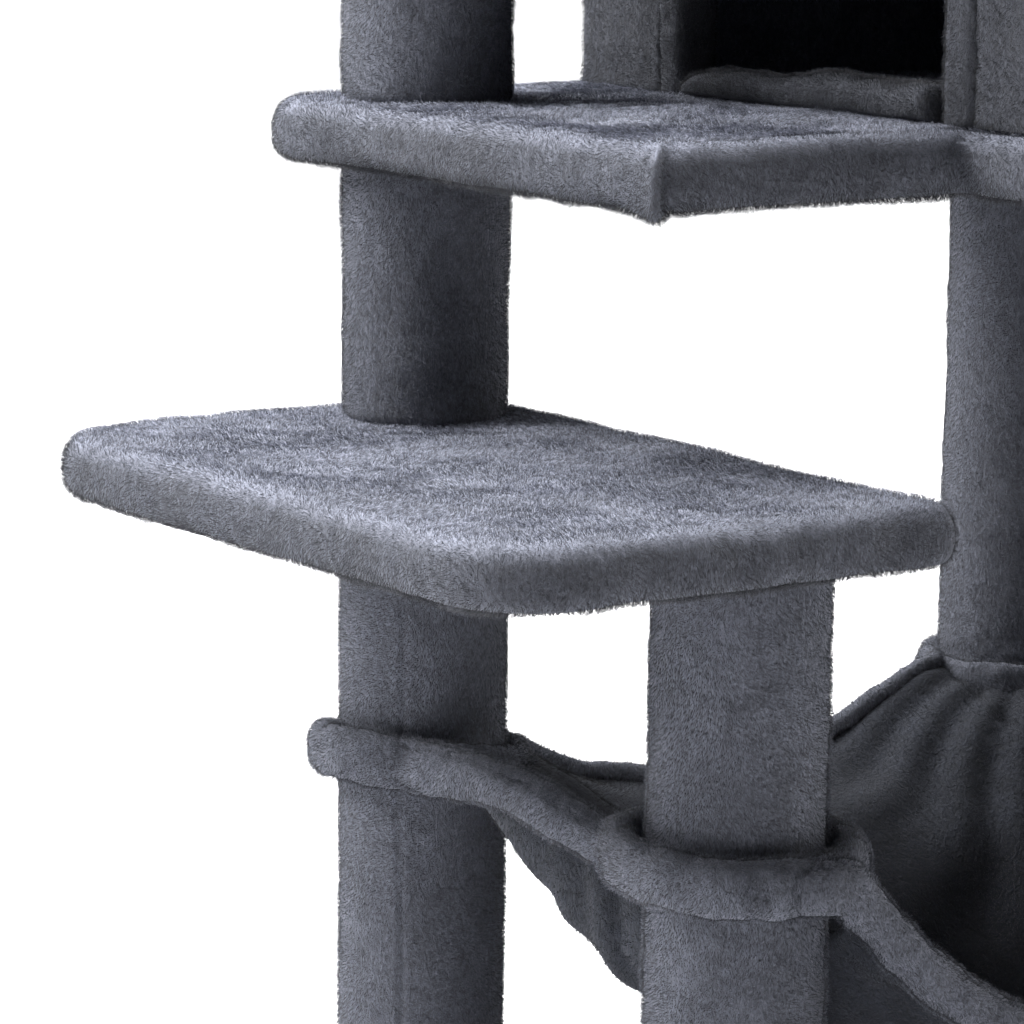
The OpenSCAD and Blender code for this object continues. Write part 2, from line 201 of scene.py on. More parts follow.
def mix(nt, a, b, fac, kind="MIX"):
    m = nt.nodes.new("ShaderNodeMix")
    m.data_type = "RGBA"
    m.blend_type = kind
    m.clamp_factor = True
    for sock, v in ((m.inputs[0], fac), (m.inputs[6], a), (m.inputs[7], b)):
        if hasattr(v, "is_output"):
            nt.links.new(v, sock)
        elif isinstance(v, (int, float)):
            sock.default_value = v
        else:
            sock.default_value = (v[0], v[1], v[2], 1)
    return m.outputs[2]


def math_node(nt, op, a, b=0.0):
    m = nt.nodes.new("ShaderNodeMath")
    m.operation = op
    for i, v in enumerate((a, b)):
        if hasattr(v, "is_output"):
            nt.links.new(v, m.inputs[i])
        else:
            m.inputs[i].default_value = v
    return m.outputs[0]


def scaled(c, k):
    return tuple(min(1.0, x * k) for x in c)


def plush_skin(name, col, stretch=(1, 1, 0.45), painted_side_shade=None):
    """The backing and lower pile: fine combed fibres, tufts and broad patches of tone, with painted shade, when asked
    for, on the faces turned sideways or down.
    """
    m, nt, bs = nodes_of(name)
    tc = nt.nodes.new("ShaderNodeTexCoord")
    obj = tc.outputs["Object"]
    mp = nt.nodes.new("ShaderNodeMapping")
    mp.inputs["Scale"].default_value = stretch
    nt.links.new(obj, mp.inputs[0])
    fib = noise(nt, mp.outputs[0], 1500, 3, 0.65, 1.2)
    tuft = noise(nt, mp.outputs[0], 260, 2, 0.55, 1.6)
    swirl = noise(nt, obj, 34, 2, 0.5, 1.2)
    broad = noise(nt, obj, 9, 1, 0.5, 0.6)
    base = ramp(nt, fib.outputs["Fac"], [(0.25, scaled(col, 0.50)), (0.55, col), (0.8, scaled(col, 1.75))])
    t = ramp(nt, tuft.outputs["Fac"], [(0.3, (0.62,) * 3), (0.7, (1.0,) * 3)])
    s = ramp(nt, swirl.outputs["Fac"], [(0.32, (0.72,) * 3), (0.68, (1.0,) * 3)])
    b = ramp(nt, broad.outputs["Fac"], [(0.3, (0.86,) * 3), (0.7, (1.0,) * 3)])
    c = mix(nt, base.outputs[0], t.outputs[0], 1.0, "MULTIPLY")
    c = mix(nt, c, s.outputs[0], 1.0, "MULTIPLY")
    c = mix(nt, c, b.outputs[0], 1.0, "MULTIPLY")
    # painted shade: the colour is darkened where the normal turns sideways or down, so that the tops read lighter than
    # the sides
    if painted_side_shade is not None:
        ge = nt.nodes.new("ShaderNodeNewGeometry")
        sp = nt.nodes.new("ShaderNodeSeparateXYZ")
        nt.links.new(ge.outputs["Normal"], sp.inputs[0])
        side = ramp(nt, sp.outputs["Z"], [(0.35, (painted_side_shade,) * 3), (0.92, (1.0,) * 3)])
        c = mix(nt, c, side.outputs[0], 1.0, "MULTIPLY")
    nt.links.new(c, bs.inputs["Base Color"])
    rr = ramp(nt, tuft.outputs["Fac"], [(0.2, (0.82,) * 3), (0.8, (0.96,) * 3)])
    nt.links.new(rr.outputs[0], bs.inputs["Roughness"])
    bs.inputs["Sheen Weight"].default_value = 0.15
    bs.inputs["Sheen Roughness"].default_value = 0.45
    bs.inputs["Sheen Tint"].default_value = (0.62, 0.66, 0.78, 1)
    bs.inputs["Specular IOR Level"].default_value = 0.25
    h = math_node(nt, "MULTIPLY", fib.outputs["Fac"], 0.35)
    h = math_node(nt, "ADD", h, tuft.outputs["Fac"])
    bump = nt.nodes.new("ShaderNodeBump")
    bump.inputs["Strength"].default_value = 0.85
    bump.inputs["Distance"].default_value = 0.0016
    nt.links.new(h, bump.inputs["Height"])
    nt.links.new(bump.outputs[0], bs.inputs["Normal"])
    return m


def plush_fibre(name, col, tip=2.1, ztop=None):
    """The pile's fibres, darker at the root and paler at the tip, each a little different."""
    m, nt, bs = nodes_of(name)
    hi = nt.nodes.new("ShaderNodeHairInfo")
    tc = nt.nodes.new("ShaderNodeNewGeometry")
    grad = ramp(nt, hi.outputs["Intercept"], [(0.0, scaled(col, 0.30)), (0.5, scaled(col, 0.95)), (1.0, scaled(col, tip * 1.12))])
    rnd = ramp(nt, hi.outputs["Random"], [(0.0, (0.22,) * 3), (0.6, (0.80,) * 3), (1.0, (1.0,) * 3)])
    c = mix(nt, grad.outputs[0], rnd.outputs[0], 1.0, "MULTIPLY")
    sw = noise(nt, tc.outputs["Position"], 26, 2, 0.5, 1.2)
    s = ramp(nt, sw.outputs["Fac"], [(0.3, (0.72,) * 3), (0.7, (1.0,) * 3)])
    tu = noise(nt, tc.outputs["Position"], 460, 1, 0.5, 0.8)
    t = ramp(nt, tu.outputs["Fac"], [(0.38, (0.22,) * 3), (0.60, (1.0,) * 3)])
    c = mix(nt, c, t.outputs[0], 1.0, "MULTIPLY")
    c = mix(nt, c, s.outputs[0], 1.0, "MULTIPLY")
    # painted shade: fibres below the deck's top height are darkened, down to 0.15 at 8.5 mm under it, so that the
    # deck's sides read darker than its top
    if ztop is not None:
        sp = nt.nodes.new("ShaderNodeSeparateXYZ")
        nt.links.new(tc.outputs["Position"], sp.inputs[0])
        mr = nt.nodes.new("ShaderNodeMapRange")
        mr.inputs["From Min"].default_value = ztop - 0.0085
        mr.inputs["From Max"].default_value = ztop - 0.0010
        nt.links.new(sp.outputs["Z"], mr.inputs["Value"])
        painted_side_shade = ramp(nt, mr.outputs[0], [(0.0, (0.15,) * 3), (0.6, (0.30,) * 3), (1.0, (1.0,) * 3)])
        c = mix(nt, c, painted_side_shade.outputs[0], 1.0, "MULTIPLY")
    nt.links.new(c, bs.inputs["Base Color"])
    bs.inputs["Roughness"].default_value = 0.6
    bs.inputs["Specular IOR Level"].default_value = 0.22
    bs.inputs["Sheen Weight"].default_value = 0.07
    bs.inputs["Sheen Roughness"].default_value = 0.4
    bs.inputs["Sheen Tint"].default_value = (0.7, 0.74, 0.85, 1)
    return m


def wood(name, dark, light, scale=1.0, along=(1, 1, 1)):
    m, nt, bs = nodes_of(name)
    tc = nt.nodes.new("ShaderNodeTexCoord")
    mp = nt.nodes.new("ShaderNodeMapping")
    mp.inputs["Scale"].default_value = along
    nt.links.new(tc.outputs["Object"], mp.inputs[0])
    a = noise(nt, mp.outputs[0], 220 * scale, 4, 0.7, 0.4)
    b = noise(nt, mp.outputs[0], 900 * scale, 2, 0.6)
    r = ramp(nt, a.outputs["Fac"], [(0.3, dark), (0.7, light)])
    r2 = ramp(nt, b.outputs["Fac"], [(0.3, (0.7,) * 3), (0.7, (1,) * 3)])
    nt.links.new(mix(nt, r.outputs[0], r2.outputs[0], 1.0, "MULTIPLY"), bs.inputs["Base Color"])
    bs.inputs["Roughness"].default_value = 0.75
    bump = nt.nodes.new("ShaderNodeBump")
    bump.inputs["Strength"].default_value = 0.35
    bump.inputs["Distance"].default_value = 0.0006
    nt.links.new(b.outputs["Fac"], bump.inputs["Height"])
    nt.links.new(bump.outputs[0], bs.inputs["Normal"])
    return m


def steel(name):
    m, nt, bs = nodes_of(name)
    tc = nt.nodes.new("ShaderNodeTexCoord")
    a = noise(nt, tc.outputs["Object"], 600, 3, 0.6)
    r = ramp(nt, a.outputs["Fac"], [(0.3, (0.42, 0.42, 0.41)), (0.7, (0.60, 0.60, 0.58))])
    nt.links.new(r.outputs[0], bs.inputs["Base Color"])
    rr = ramp(nt, a.outputs["Fac"], [(0.3, (0.28,) * 3), (0.7, (0.48,) * 3)])
    nt.links.new(rr.outputs[0], bs.inputs["Roughness"])
    bs.inputs["Metallic"].default_value = 1.0
    return m


def felt(name, col):
    m, nt, bs = nodes_of(name)
    tc = nt.nodes.new("ShaderNodeTexCoord")
    a = noise(nt, tc.outputs["Object"], 700, 4, 0.7, 1.5)
    b = noise(nt, tc.outputs["Object"], 40, 2, 0.5)
    r = ramp(nt, a.outputs["Fac"], [(0.3, scaled(col, 0.6)), (0.7, scaled(col, 1.35))])
    r2 = ramp(nt, b.outputs["Fac"], [(0.3, (0.85,) * 3), (0.7, (1,) * 3)])
    nt.links.new(mix(nt, r.outputs[0], r2.outputs[0], 1.0, "MULTIPLY"), bs.inputs["Base Color"])
    bs.inputs["Roughness"].default_value = 0.95
    bs.inputs["Sheen Weight"].default_value = 0.2
    bump = nt.nodes.new("ShaderNodeBump")
    bump.inputs["Strength"].default_value = 0.5
    bump.inputs["Distance"].default_value = 0.0005
    nt.links.new(a.outputs["Fac"], bump.inputs["Height"])
    nt.links.new(bump.outputs[0], bs.inputs["Normal"])
    return m


SLATE = (0.087, 0.092, 0.114)
LINING = (0.045, 0.050, 0.068)
# painted shade: the sling is the same plush as SLATE, darkened for the shade it hangs in
SLING_SHADED = (0.060, 0.067, 0.092)
# one plush in lit and shaded copies: the deck skin x2.1 is painted light, the condo x0.5 (fibres x0.46) is painted
# shade under the roof, the lining x2.6 (fibres x4.0) is painted light inside the dark condo, and the sling x0.30
# (fibres x0.26) is painted shade
SKIN = {k: plush_skin("plush_" + k, c, painted_side_shade=0.36 if k == "deck" else None) for k, c in
        (("deck", scaled(SLATE, 2.1)), ("post", SLATE), ("condo", scaled(SLATE, 0.5)), ("lining", scaled(LINING, 2.6)), ("sling", scaled(SLING_SHADED, 0.30)), ("rim", scaled(SLATE, 1.05)))}
FIBRE = {k: plush_fibre("fibre_" + k, c) for k, c in
         (("deck", scaled(SLATE, 1.1)), ("post", SLATE), ("condo", scaled(SLATE, 0.46)), ("lining", scaled(LINING, 4.0)), ("sling", scaled(SLING_SHADED, 0.26)), ("rim", scaled(SLATE, 1.1)))}
# painted light: each deck's fibres get SLATE x3.1, much lighter than the posts', so that the deck tops read lit
for _top in (30, 440, 588, 918):
    FIBRE["deck%d" % _top] = plush_fibre("fibre_deck_%d" % _top, scaled(SLATE, 3.1), ztop=_top / 1000.0)
for _m in (SKIN["sling"], FIBRE["sling"]):
    for _n in _m.node_tree.nodes:
        if _n.type == "BSDF_PRINCIPLED":
            _n.inputs["Sheen Weight"].default_value = 0.08
            _n.inputs["Specular IOR Level"].default_value = 0.2
for _m in (SKIN["condo"], FIBRE["condo"]):
    for _n in _m.node_tree.nodes:
        if _n.type == "BSDF_PRINCIPLED":
            _n.inputs["Sheen Weight"].default_value = 0.08
THREAD = felt("sewing_thread", (0.030, 0.033, 0.045))
M_BOARD = wood("particle_board", (0.36, 0.25, 0.14), (0.58, 0.44, 0.27), 1.0)
M_PAPER = wood("paperboard", (0.33, 0.24, 0.15), (0.46, 0.35, 0.23), 0.6, (1, 1, 0.15))
M_PLUG = wood("pine_plug", (0.50, 0.34, 0.18), (0.68, 0.50, 0.30), 0.5, (1, 0.15, 1))
M_STEEL = steel("zinc_steel")
M_LINER = felt("underside_liner", (0.035, 0.036, 0.040))

# ---------------------------------------------------------------- pile: fibres grown at render time
FUR_GROUP = None


def fur_group():
    """Geometry nodes: scatters short leaning fibres over the emitter mesh by its pile weight."""
    global FUR_GROUP
    if FUR_GROUP:
        return FUR_GROUP
    g = bpy.data.node_groups.new("pile", "GeometryNodeTree")
    itf = g.interface
    itf.new_socket("Geometry", in_out="INPUT", socket_type="NodeSocketGeometry")
    for nm, kind, dv in (("Density", "NodeSocketFloat", 500000.0), ("Length", "NodeSocketFloat", 0.0042), ("Lean", "NodeSocketFloat", 0.9),
                         ("Radius", "NodeSocketFloat", 0.00011), ("Seed", "NodeSocketInt", 1), ("Down", "NodeSocketVector", (0, 0, -0.4)),
                         ("Fibre", "NodeSocketMaterial", None), ("Emitter", "NodeSocketObject", None)):
        s = itf.new_socket(nm, in_out="INPUT", socket_type=kind)
        if dv is not None:
            s.default_value = dv
    itf.new_socket("Geometry", in_out="OUTPUT", socket_type="NodeSocketGeometry")
    nd, ln = g.nodes, g.links
    gi, go = nd.new("NodeGroupInput"), nd.new("NodeGroupOutput")

    def new(t, **kw):
        n = nd.new(t)
        for k, v in kw.items():
            setattr(n, k, v)
        return n

    def vec(op, a, b=None, scale=None):
        n = new("ShaderNodeVectorMath", operation=op)
        for i, v in ((0, a), (1, b)):
            if v is None:
                continue
            if hasattr(v, "is_output"):
                ln.new(v, n.inputs[i])
            else:
                n.inputs[i].default_value = v
        if scale is not None:
            if hasattr(scale, "is_output"):
                ln.new(scale, n.inputs["Scale"])
            else:
                n.inputs["Scale"].default_value = scale
        return n.outputs["Value"] if op in ("DOT_PRODUCT", "LENGTH") else n.outputs["Vector"]

    def noise3(pos, scale, detail=1.0):
        n = new("ShaderNodeTexNoise", noise_dimensions="3D")
        n.inputs["Scale"].default_value = scale
        n.inputs["Detail"].default_value = detail
        ln.new(pos, n.inputs["Vector"])
        return vec("SUBTRACT", n.outputs["Color"], (0.5, 0.5, 0.5))

    at = new("GeometryNodeInputNamedAttribute", data_type="FLOAT")
    at.inputs["Name"].default_value = "pile"
    dens = new("ShaderNodeMath", operation="MULTIPLY")
    ln.new(at.outputs["Attribute"], dens.inputs[0])
    ln.new(gi.outputs["Density"], dens.inputs[1])
    info = new("GeometryNodeObjectInfo", transform_space="ORIGINAL")
    ln.new(gi.outputs["Emitter"], info.inputs["Object"])
    dist = new("GeometryNodeDistributePointsOnFaces", distribute_method="RANDOM")
    ln.new(info.outputs["Geometry"], dist.inputs["Mesh"])
    ln.new(dens.outputs[0], dist.inputs["Density"])
    ln.new(gi.outputs["Seed"], dist.inputs["Seed"])
    nrm = dist.outputs["Normal"]
    pos = new("GeometryNodeInputPosition").outputs[0]
    # lean: broad swirls, tufts and a general nap direction, then pushed into the surface plane
    comb = vec("ADD", vec("SCALE", noise3(pos, 16, 1.0), None, 5.0), vec("SCALE", noise3(pos, 150, 1.0), None, 2.6))
    comb = vec("ADD", comb, gi.outputs["Down"])
    rnd = new("FunctionNodeRandomValue", data_type="FLOAT_VECTOR")
    rnd.inputs[0].default_value = (-0.5, -0.5, -0.5)
    rnd.inputs[1].default_value = (0.5, 0.5, 0.5)
    comb = vec("ADD", comb, vec("SCALE", rnd.outputs[0], None, 1.1))
    dotn = vec("DOT_PRODUCT", comb, nrm)
    tang = vec("SUBTRACT", comb, vec("SCALE", nrm, None, dotn))
    tang = vec("SCALE", tang, None, gi.outputs["Lean"])
    root = vec("NORMALIZE", vec("ADD", nrm, vec("SCALE", tang, None, 0.35)))
    tip = vec("NORMALIZE", vec("ADD", nrm, vec("SCALE", tang, None, 1.35)))
    cap_root = new("GeometryNodeCaptureAttribute", domain="POINT")
    ln.new(dist.outputs["Points"], cap_root.inputs[0])
    cap_root.capture_items.new("VECTOR", "root")
    cap_root.capture_items.new("VECTOR", "tip")
    cap_root.capture_items.new("FLOAT", "long")
    pl = new("GeometryNodeInputNamedAttribute", data_type="FLOAT")
    pl.inputs["Name"].default_value = "long"
    ln.new(pl.outputs["Attribute"], cap_root.inputs[3])
    ln.new(root, cap_root.inputs[1])
    ln.new(tip, cap_root.inputs[2])
    # one straight strand of three points, instanced and then bent
    line = new("GeometryNodeCurvePrimitiveLine")
    line.inputs[0].default_value = (0, 0, 0)
    line.inputs[1].default_value = (0, 0, 1)
    res = new("GeometryNodeResampleCurve")
    ln.new(line.outputs[0], res.inputs["Curve"])
    res.inputs["Count"].default_value = 4
    inst = new("GeometryNodeInstanceOnPoints")
    ln.new(cap_root.outputs[0], inst.inputs["Points"])
    ln.new(res.outputs[0], inst.inputs["Instance"])
    inst.inputs["Scale"].default_value = (1e-5, 1e-5, 1e-5)
    real = new("GeometryNodeRealizeInstances")
    ln.new(inst.outputs[0], real.inputs[0])
    par = new("GeometryNodeSplineParameter").outputs["Factor"]
    rlen = new("FunctionNodeRandomValue", data_type="FLOAT")
    rlen.inputs[2].default_value = 0.65
    rlen.inputs[3].default_value = 1.1
    # a random length for each strand, by its index
    ci = new("GeometryNodeInputID")
    idx = new("GeometryNodeInputIndex").outputs[0]
    div = new("ShaderNodeMath", operation="DIVIDE")
    ln.new(idx, div.inputs[0])
    div.inputs[1].default_value = 4.0
    flo = new("ShaderNodeMath", operation="FLOOR")
    ln.new(div.outputs[0], flo.inputs[0])
    ln.new(flo.outputs[0], rlen.inputs["ID"])
    ll = new("ShaderNodeMath", operation="MULTIPLY")
    ln.new(rlen.outputs[1], ll.inputs[0])
    ln.new(gi.outputs["Length"], ll.inputs[1])
    lx = new("ShaderNodeMath", operation="ADD")
    ln.new(cap_root.outputs[3], lx.inputs[0])
    lx.inputs[1].default_value = 1.0
    l2 = new("ShaderNodeMath", operation="MULTIPLY")
    ln.new(ll.outputs[0], l2.inputs[0])
    ln.new(lx.outputs[0], l2.inputs[1])
    a = new("ShaderNodeMath", operation="MULTIPLY")
    ln.new(par, a.inputs[0])
    ln.new(l2.outputs[0], a.inputs[1])
    one = new("ShaderNodeMath", operation="SUBTRACT")
    one.inputs[0].default_value = 1.0
    ln.new(par, one.inputs[1])
    dirv = vec("ADD", vec("SCALE", cap_root.outputs[1], None, one.outputs[0]), vec("SCALE", cap_root.outputs[2], None, par))
    off = vec("SCALE", dirv, None, a.outputs[0])
    sp = new("GeometryNodeSetPosition")
    ln.new(real.outputs[0], sp.inputs["Geometry"])
    ln.new(off, sp.inputs["Offset"])
    sr = new("GeometryNodeSetCurveRadius")
    ln.new(sp.outputs[0], sr.inputs["Curve"])
    tap = new("ShaderNodeMath", operation="MULTIPLY_ADD")
    ln.new(par, tap.inputs[0])
    tap.inputs[1].default_value = -0.75
    tap.inputs[2].default_value = 1.0
    rad = new("ShaderNodeMath", operation="MULTIPLY")
    ln.new(tap.outputs[0], rad.inputs[0])
    ln.new(gi.outputs["Radius"], rad.inputs[1])
    ln.new(rad.outputs[0], sr.inputs["Radius"])
    sm = new("GeometryNodeSetMaterial")
    ln.new(sr.outputs[0], sm.inputs["Geometry"])
    ln.new(gi.outputs["Fibre"], sm.inputs["Material"])
    ln.new(sm.outputs[0], go.inputs[0])
    FUR_GROUP = g
    return g


SEED = [10]


def add_fur(ob, fibre, density=1.0, length=3.0, lean=1.15, radius=0.085, down=(0, 0, -0.4)):
    """Fibres for the render only: density per square mm, length and radius in mm."""
    if FUR_OFF:
        return
    g = fur_group()
    hc = bpy.data.hair_curves.new(ob.name + "_pile")
    hc.materials.append(FIBRE[fibre])
    ho = bpy.data.objects.new(ob.name + "_pile", hc)
    bpy.context.scene.collection.objects.link(ho)
    ho.parent = ob
    md = ho.modifiers.new("pile", "NODES")
    md.node_group = g
    ids = {s.name: s.identifier for s in g.interface.items_tree if s.in_out == "INPUT"}
    SEED[0] += 1
    md[ids["Density"]] = density * 1e6
    md[ids["Length"]] = length * MM
    md[ids["Lean"]] = lean
    md[ids["Radius"]] = radius * MM
    md[ids["Seed"]] = SEED[0]
    md[ids["Down"]] = down
    md[ids["Fibre"]] = FIBRE[fibre]
    md[ids["Emitter"]] = ob
    md.show_viewport = False
    md.show_render = True


FUR_OFF = False


# ---------------------------------------------------------------- outlines
def rpoly(pts, radii, off=0.0, step=3.0, arc=14):
    """A rounded polygon (counter-clockwise corners, mm) moved inwards by off, with the same points for every off.
    Returns points, outward directions and, for each point, the distance along the outline at off 0."""
    P = np.array(pts, float)
    n = len(P)
    E = np.roll(P, -1, 0) - P
    L = np.linalg.norm(E, axis=1)
    T = E / L[:, None]
    Nout = np.stack([T[:, 1], -T[:, 0]], 1)
    C, R, turn = [], [], []
    for i in range(n):
        a, b = (i - 1) % n, i
        cr = T[a][0] * T[b][1] - T[a][1] * T[b][0]
        # corner of the lines moved inwards
        A = np.array([Nout[a], Nout[b]])
        rhs = np.array([Nout[a] @ P[i] - off, Nout[b] @ P[i] - off])
        C.append(np.linalg.solve(A, rhs))
        R.append(max(radii[i] - off, 0.4) if cr > 0 else radii[i] + off)
        turn.append(cr)
    out, dirs, dist = [], [], []
    s = 0.0
    for i in range(n):
        a, b = (i - 1) % n, i
        sg = 1 if turn[i] > 0 else -1
        cen = C[i] - sg * (Nout[a] + Nout[b]) * R[i]
        a0 = math.atan2(*(sg * Nout[a])[::-1])
        a1 = math.atan2(*(sg * Nout[b])[::-1])
        while sg > 0 and a1 < a0:
            a1 += 2 * math.pi
        while sg < 0 and a1 > a0:
            a1 -= 2 * math.pi
        for k in range(arc + 1):
            t = a0 + (a1 - a0) * k / arc
            d = np.array([math.cos(t), math.sin(t)])
            out.append(cen + d * R[i])
            dirs.append(d * sg)
            dist.append(s)
            s += radii[i] * math.pi / 2 / arc
        j = (i + 1) % n
        m = max(2, int((L[i] - radii[i] - radii[j]) / step))
        p0 = C[i] + T[i] * R[i] if turn[i] > 0 else C[i] + T[i] * R[i]
        p1 = C[j] - T[i] * R[j]
        for k in range(1, m):
            out.append(p0 + (p1 - p0) * k / m)
            dirs.append(Nout[i])
            s += (L[i] - radii[i] - radii[j]) / m
            dist.append(s)
        s += (L[i] - radii[i] - radii[j]) / m
    return np.array(out), np.array(dirs), np.array(dist)


def inside_mask(poly, pts):
    x, y = pts[:, 0], pts[:, 1]
    c = np.zeros(len(pts), bool)
    j = len(poly) - 1
    for i in range(len(poly)):
        xi, yi = poly[i]
        xj, yj = poly[j]
        hit = ((yi > y) != (yj > y))
        with np.errstate(divide="ignore", invalid="ignore"):
            xx = (xj - xi) * (y - yi) / (yj - yi) + xi
        c ^= hit & (x < xx)
        j = i
    return c


def fill(ring_pts, spacing, seed=3, holes=()):
    """Triangles over a closed ring with evenly spread points inside. Returns 2-D points (ring first) and triangles."""
    rng = np.random.default_rng(seed)
    lo, hi = ring_pts.min(0), ring_pts.max(0)
    xs = np.arange(lo[0], hi[0], spacing)
    ys = np.arange(lo[1], hi[1], spacing * 0.87)
    G = np.array([(x + (0.5 * spacing if j % 2 else 0), y) for j, y in enumerate(ys) for x in xs])
    G += rng.uniform(-0.12, 0.12, G.shape) * spacing
    G = G[inside_mask(ring_pts, G)]
    allr = np.vstack([ring_pts] + [np.array(h) for h in holes])
    keep = np.ones(len(G), bool)
    for h in holes:
        keep &= ~inside_mask(np.array(h), G)
    G = G[keep]
    d = np.full(len(G), 1e9)
    for k in range(0, len(allr), 400):
        q = allr[k:k + 400]
        d = np.minimum(d, np.sqrt(((G[:, None, :] - q[None]) ** 2).sum(2)).min(1))
    G = G[d > spacing * 0.55]
    V = np.vstack([allr, G])
    edges, base = [], 0
    for r in [ring_pts] + [np.array(h) for h in holes]:
        m = len(r)
        edges += [(base + i, base + (i + 1) % m) for i in range(m)]
        base += m
    res = delaunay_2d_cdt([Vector(v) for v in V], edges, [], 0, 1e-6)
    ov, of, orig = res[0], res[2], res[3]
    idx = [o[0] if o else None for o in orig]
    if any(i is None for i in idx):
        raise RuntimeError("outline crosses itself")
    F = []
    cen = np.array([np.mean([(ov[i][0], ov[i][1]) for i in f], 0) for f in of])
    ok = inside_mask(ring_pts, cen)
    for h in holes:
        ok &= ~inside_mask(np.array(h), cen)
    for f, k in zip(of, ok):
        if k:
            t = [idx[i] for i in f]
            a, b, c = V[t[0]], V[t[1]], V[t[2]]
            if (b[0] - a[0]) * (c[1] - a[1]) - (b[1] - a[1]) * (c[0] - a[0]) < 0:
                t.reverse()
            F.append(tuple(t))
    return V, F


# ---------------------------------------------------------------- padded deck covers
def deck_cover(name, corners, radii, top, node, seed, thick=30.0, board_gap=7.6, floor=False, warp=None, rim=15.0):
    """The plush stretched over a deck board: soft full-round edge, turned under by 35 mm, hollow where the board is."""
    low_, high_ = (0.0 if floor else 1.2), 0.9
    zc, h = top - thick / 2 + (low_ - high_) / 2, thick / 2 - (low_ + high_) / 2
    plan = 2.2
    prof = []  # (off, z, out) from the turned-under edge round to the top
    for off in (35.0, 31.0, 26.0, 20.0, 16.5):
        prof.append((off, -h))
    steps = 22
    for k in range(steps + 1):
        t = -math.pi / 2 + math.pi * k / steps
        c, s_ = abs(math.cos(t)), math.sin(t)
        nexp = 2.35 if s_ > 0 else 3.3
        prof.append((rim - rim * c ** (2 / nexp), h * math.copysign(abs(s_) ** (2 / nexp), s_)))
    rings, dirs0 = [], None
    for off, z in prof:
        p, d, dist = rpoly(corners, radii, off + plan)
        rings.append(np.column_stack([p, np.full(len(p), zc + z)]))
        dirs0 = d
    cols = len(rings[0])
    top_ring = rings[-1]
    V2, F2 = fill(top_ring[:, :2], 6.5, seed)
    V = list(rings)
    F = grid_faces(len(rings), cols, wrap_c=True)
    base_top = (len(rings) - 1) * cols
    nring = len(rings) * cols
    inner_pts = np.column_stack([V2[cols:], np.full(len(V2) - cols, zc + h)])
    V.append(inner_pts)
    remap = lambda i: base_top + i if i < cols else nring + i - cols
    F += [tuple(remap(i) for i in f) for f in F2]
    n_out = nring + len(inner_pts)
    V = np.vstack(V)
    # soft relief: edges slightly lumpy, top nearly flat with low swells
    nrm = normals(V, F)
    big, mid, small = waves(seed, 150), waves(seed + 1, 46), waves(seed + 2, 17)
    edge = np.clip((V[:, 2] - (top - thick)) / 5.0, 0, 1)
    amp = 0.7 * big(V) + 0.55 * mid(V) + 0.28 * small(V)
    cap = np.where(V[:, 2] > zc + h - 0.5, 0.62, 1.0)
    V = V + nrm * (np.clip(amp, -1.5, 1.2) * edge * cap)[:, None]
    if warp is not None:
        V = warp(V, nrm)
    if floor:
        V[:, 2] = np.maximum(V[:, 2], top - thick)
    # hidden inner faces: up the board's side and under the top
    zi = top - 6.1
    q7, _, _ = rpoly(corners, radii, board_gap + 0.0)
    r_a = np.column_stack([rpoly(corners, radii, 36.5)[0], np.full(cols, top - thick + 2.8)])
    r_b = np.column_stack([q7, np.full(cols, top - thick + 2.8)])
    r_c = np.column_stack([q7, np.full(cols, zi + 1.0)])
    V3, F3 = fill(q7, 24, seed + 5)
    base = len(V)
    inner = np.vstack([r_a, r_b, r_c, np.column_stack([V3[cols:], np.full(len(V3) - cols, zi + 1.0)])])
    V = np.vstack([V, inner])
    Fi = []
    for i in range(3):
        lo_ = 0 if i == 0 else base + (i - 1) * cols
        hi_ = base + i * cols
        for j in range(cols):
            j2 = (j + 1) % cols
            Fi.append((lo_ + j2, lo_ + j, hi_ + j, hi_ + j2))
    rm = lambda i: base + 2 * cols + i if i < cols else base + 3 * cols + i - cols
    Fi += [tuple(reversed([rm(i) for i in f])) for f in F3]
    F += Fi
    pile = np.zeros(len(V))
    pile[:n_out] = 1
    pile[:5 * cols] = 0.0 if floor else 0.35
    if floor:
        pile[:n_out] *= np.where(V[:n_out, 2] < top - thick + 1.2, 0.0, 1.0)
    t = (V[:, 2] - (top - thick)) / thick
    ragged = 0.6 + 0.5 * waves(seed + 9, 19)(V)
    long = 0.5 * gauss(t - 0.12, 0.16) * np.clip(ragged, 0, 1.4) * (pile > 0)
    return mesh_object(name, V, F, SKIN["deck"], "frame", node, pile, dict(fibre="deck%d" % round(top), down=(-0.25, -0.15, -0.5)), long=long)


def rect(b):
    return [(b[0], b[1]), (b[2], b[1]), (b[2], b[3]), (b[0], b[3])]


def box_mm(node):
    lo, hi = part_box(node)
    return [v / MM for v in lo], [v / MM for v in hi]


blo, bhi = box_mm("base_cover")
base = deck_cover("base_cover_plush", rect((blo[0], blo[1], bhi[0], bhi[1])), [30] * 4, bhi[2], "base_cover", 21, floor=True)
llo, lhi = box_mm("lower_platform_cover")
low = deck_cover("lower_platform_plush", rect((llo[0], llo[1], lhi[0], lhi[1])), [48, 12, 16, 50], lhi[2], "lower_platform_cover", 31)
ulo, uhi = box_mm("upper_platform_cover")
IN_X, IN_Y = -76.0, -129.0


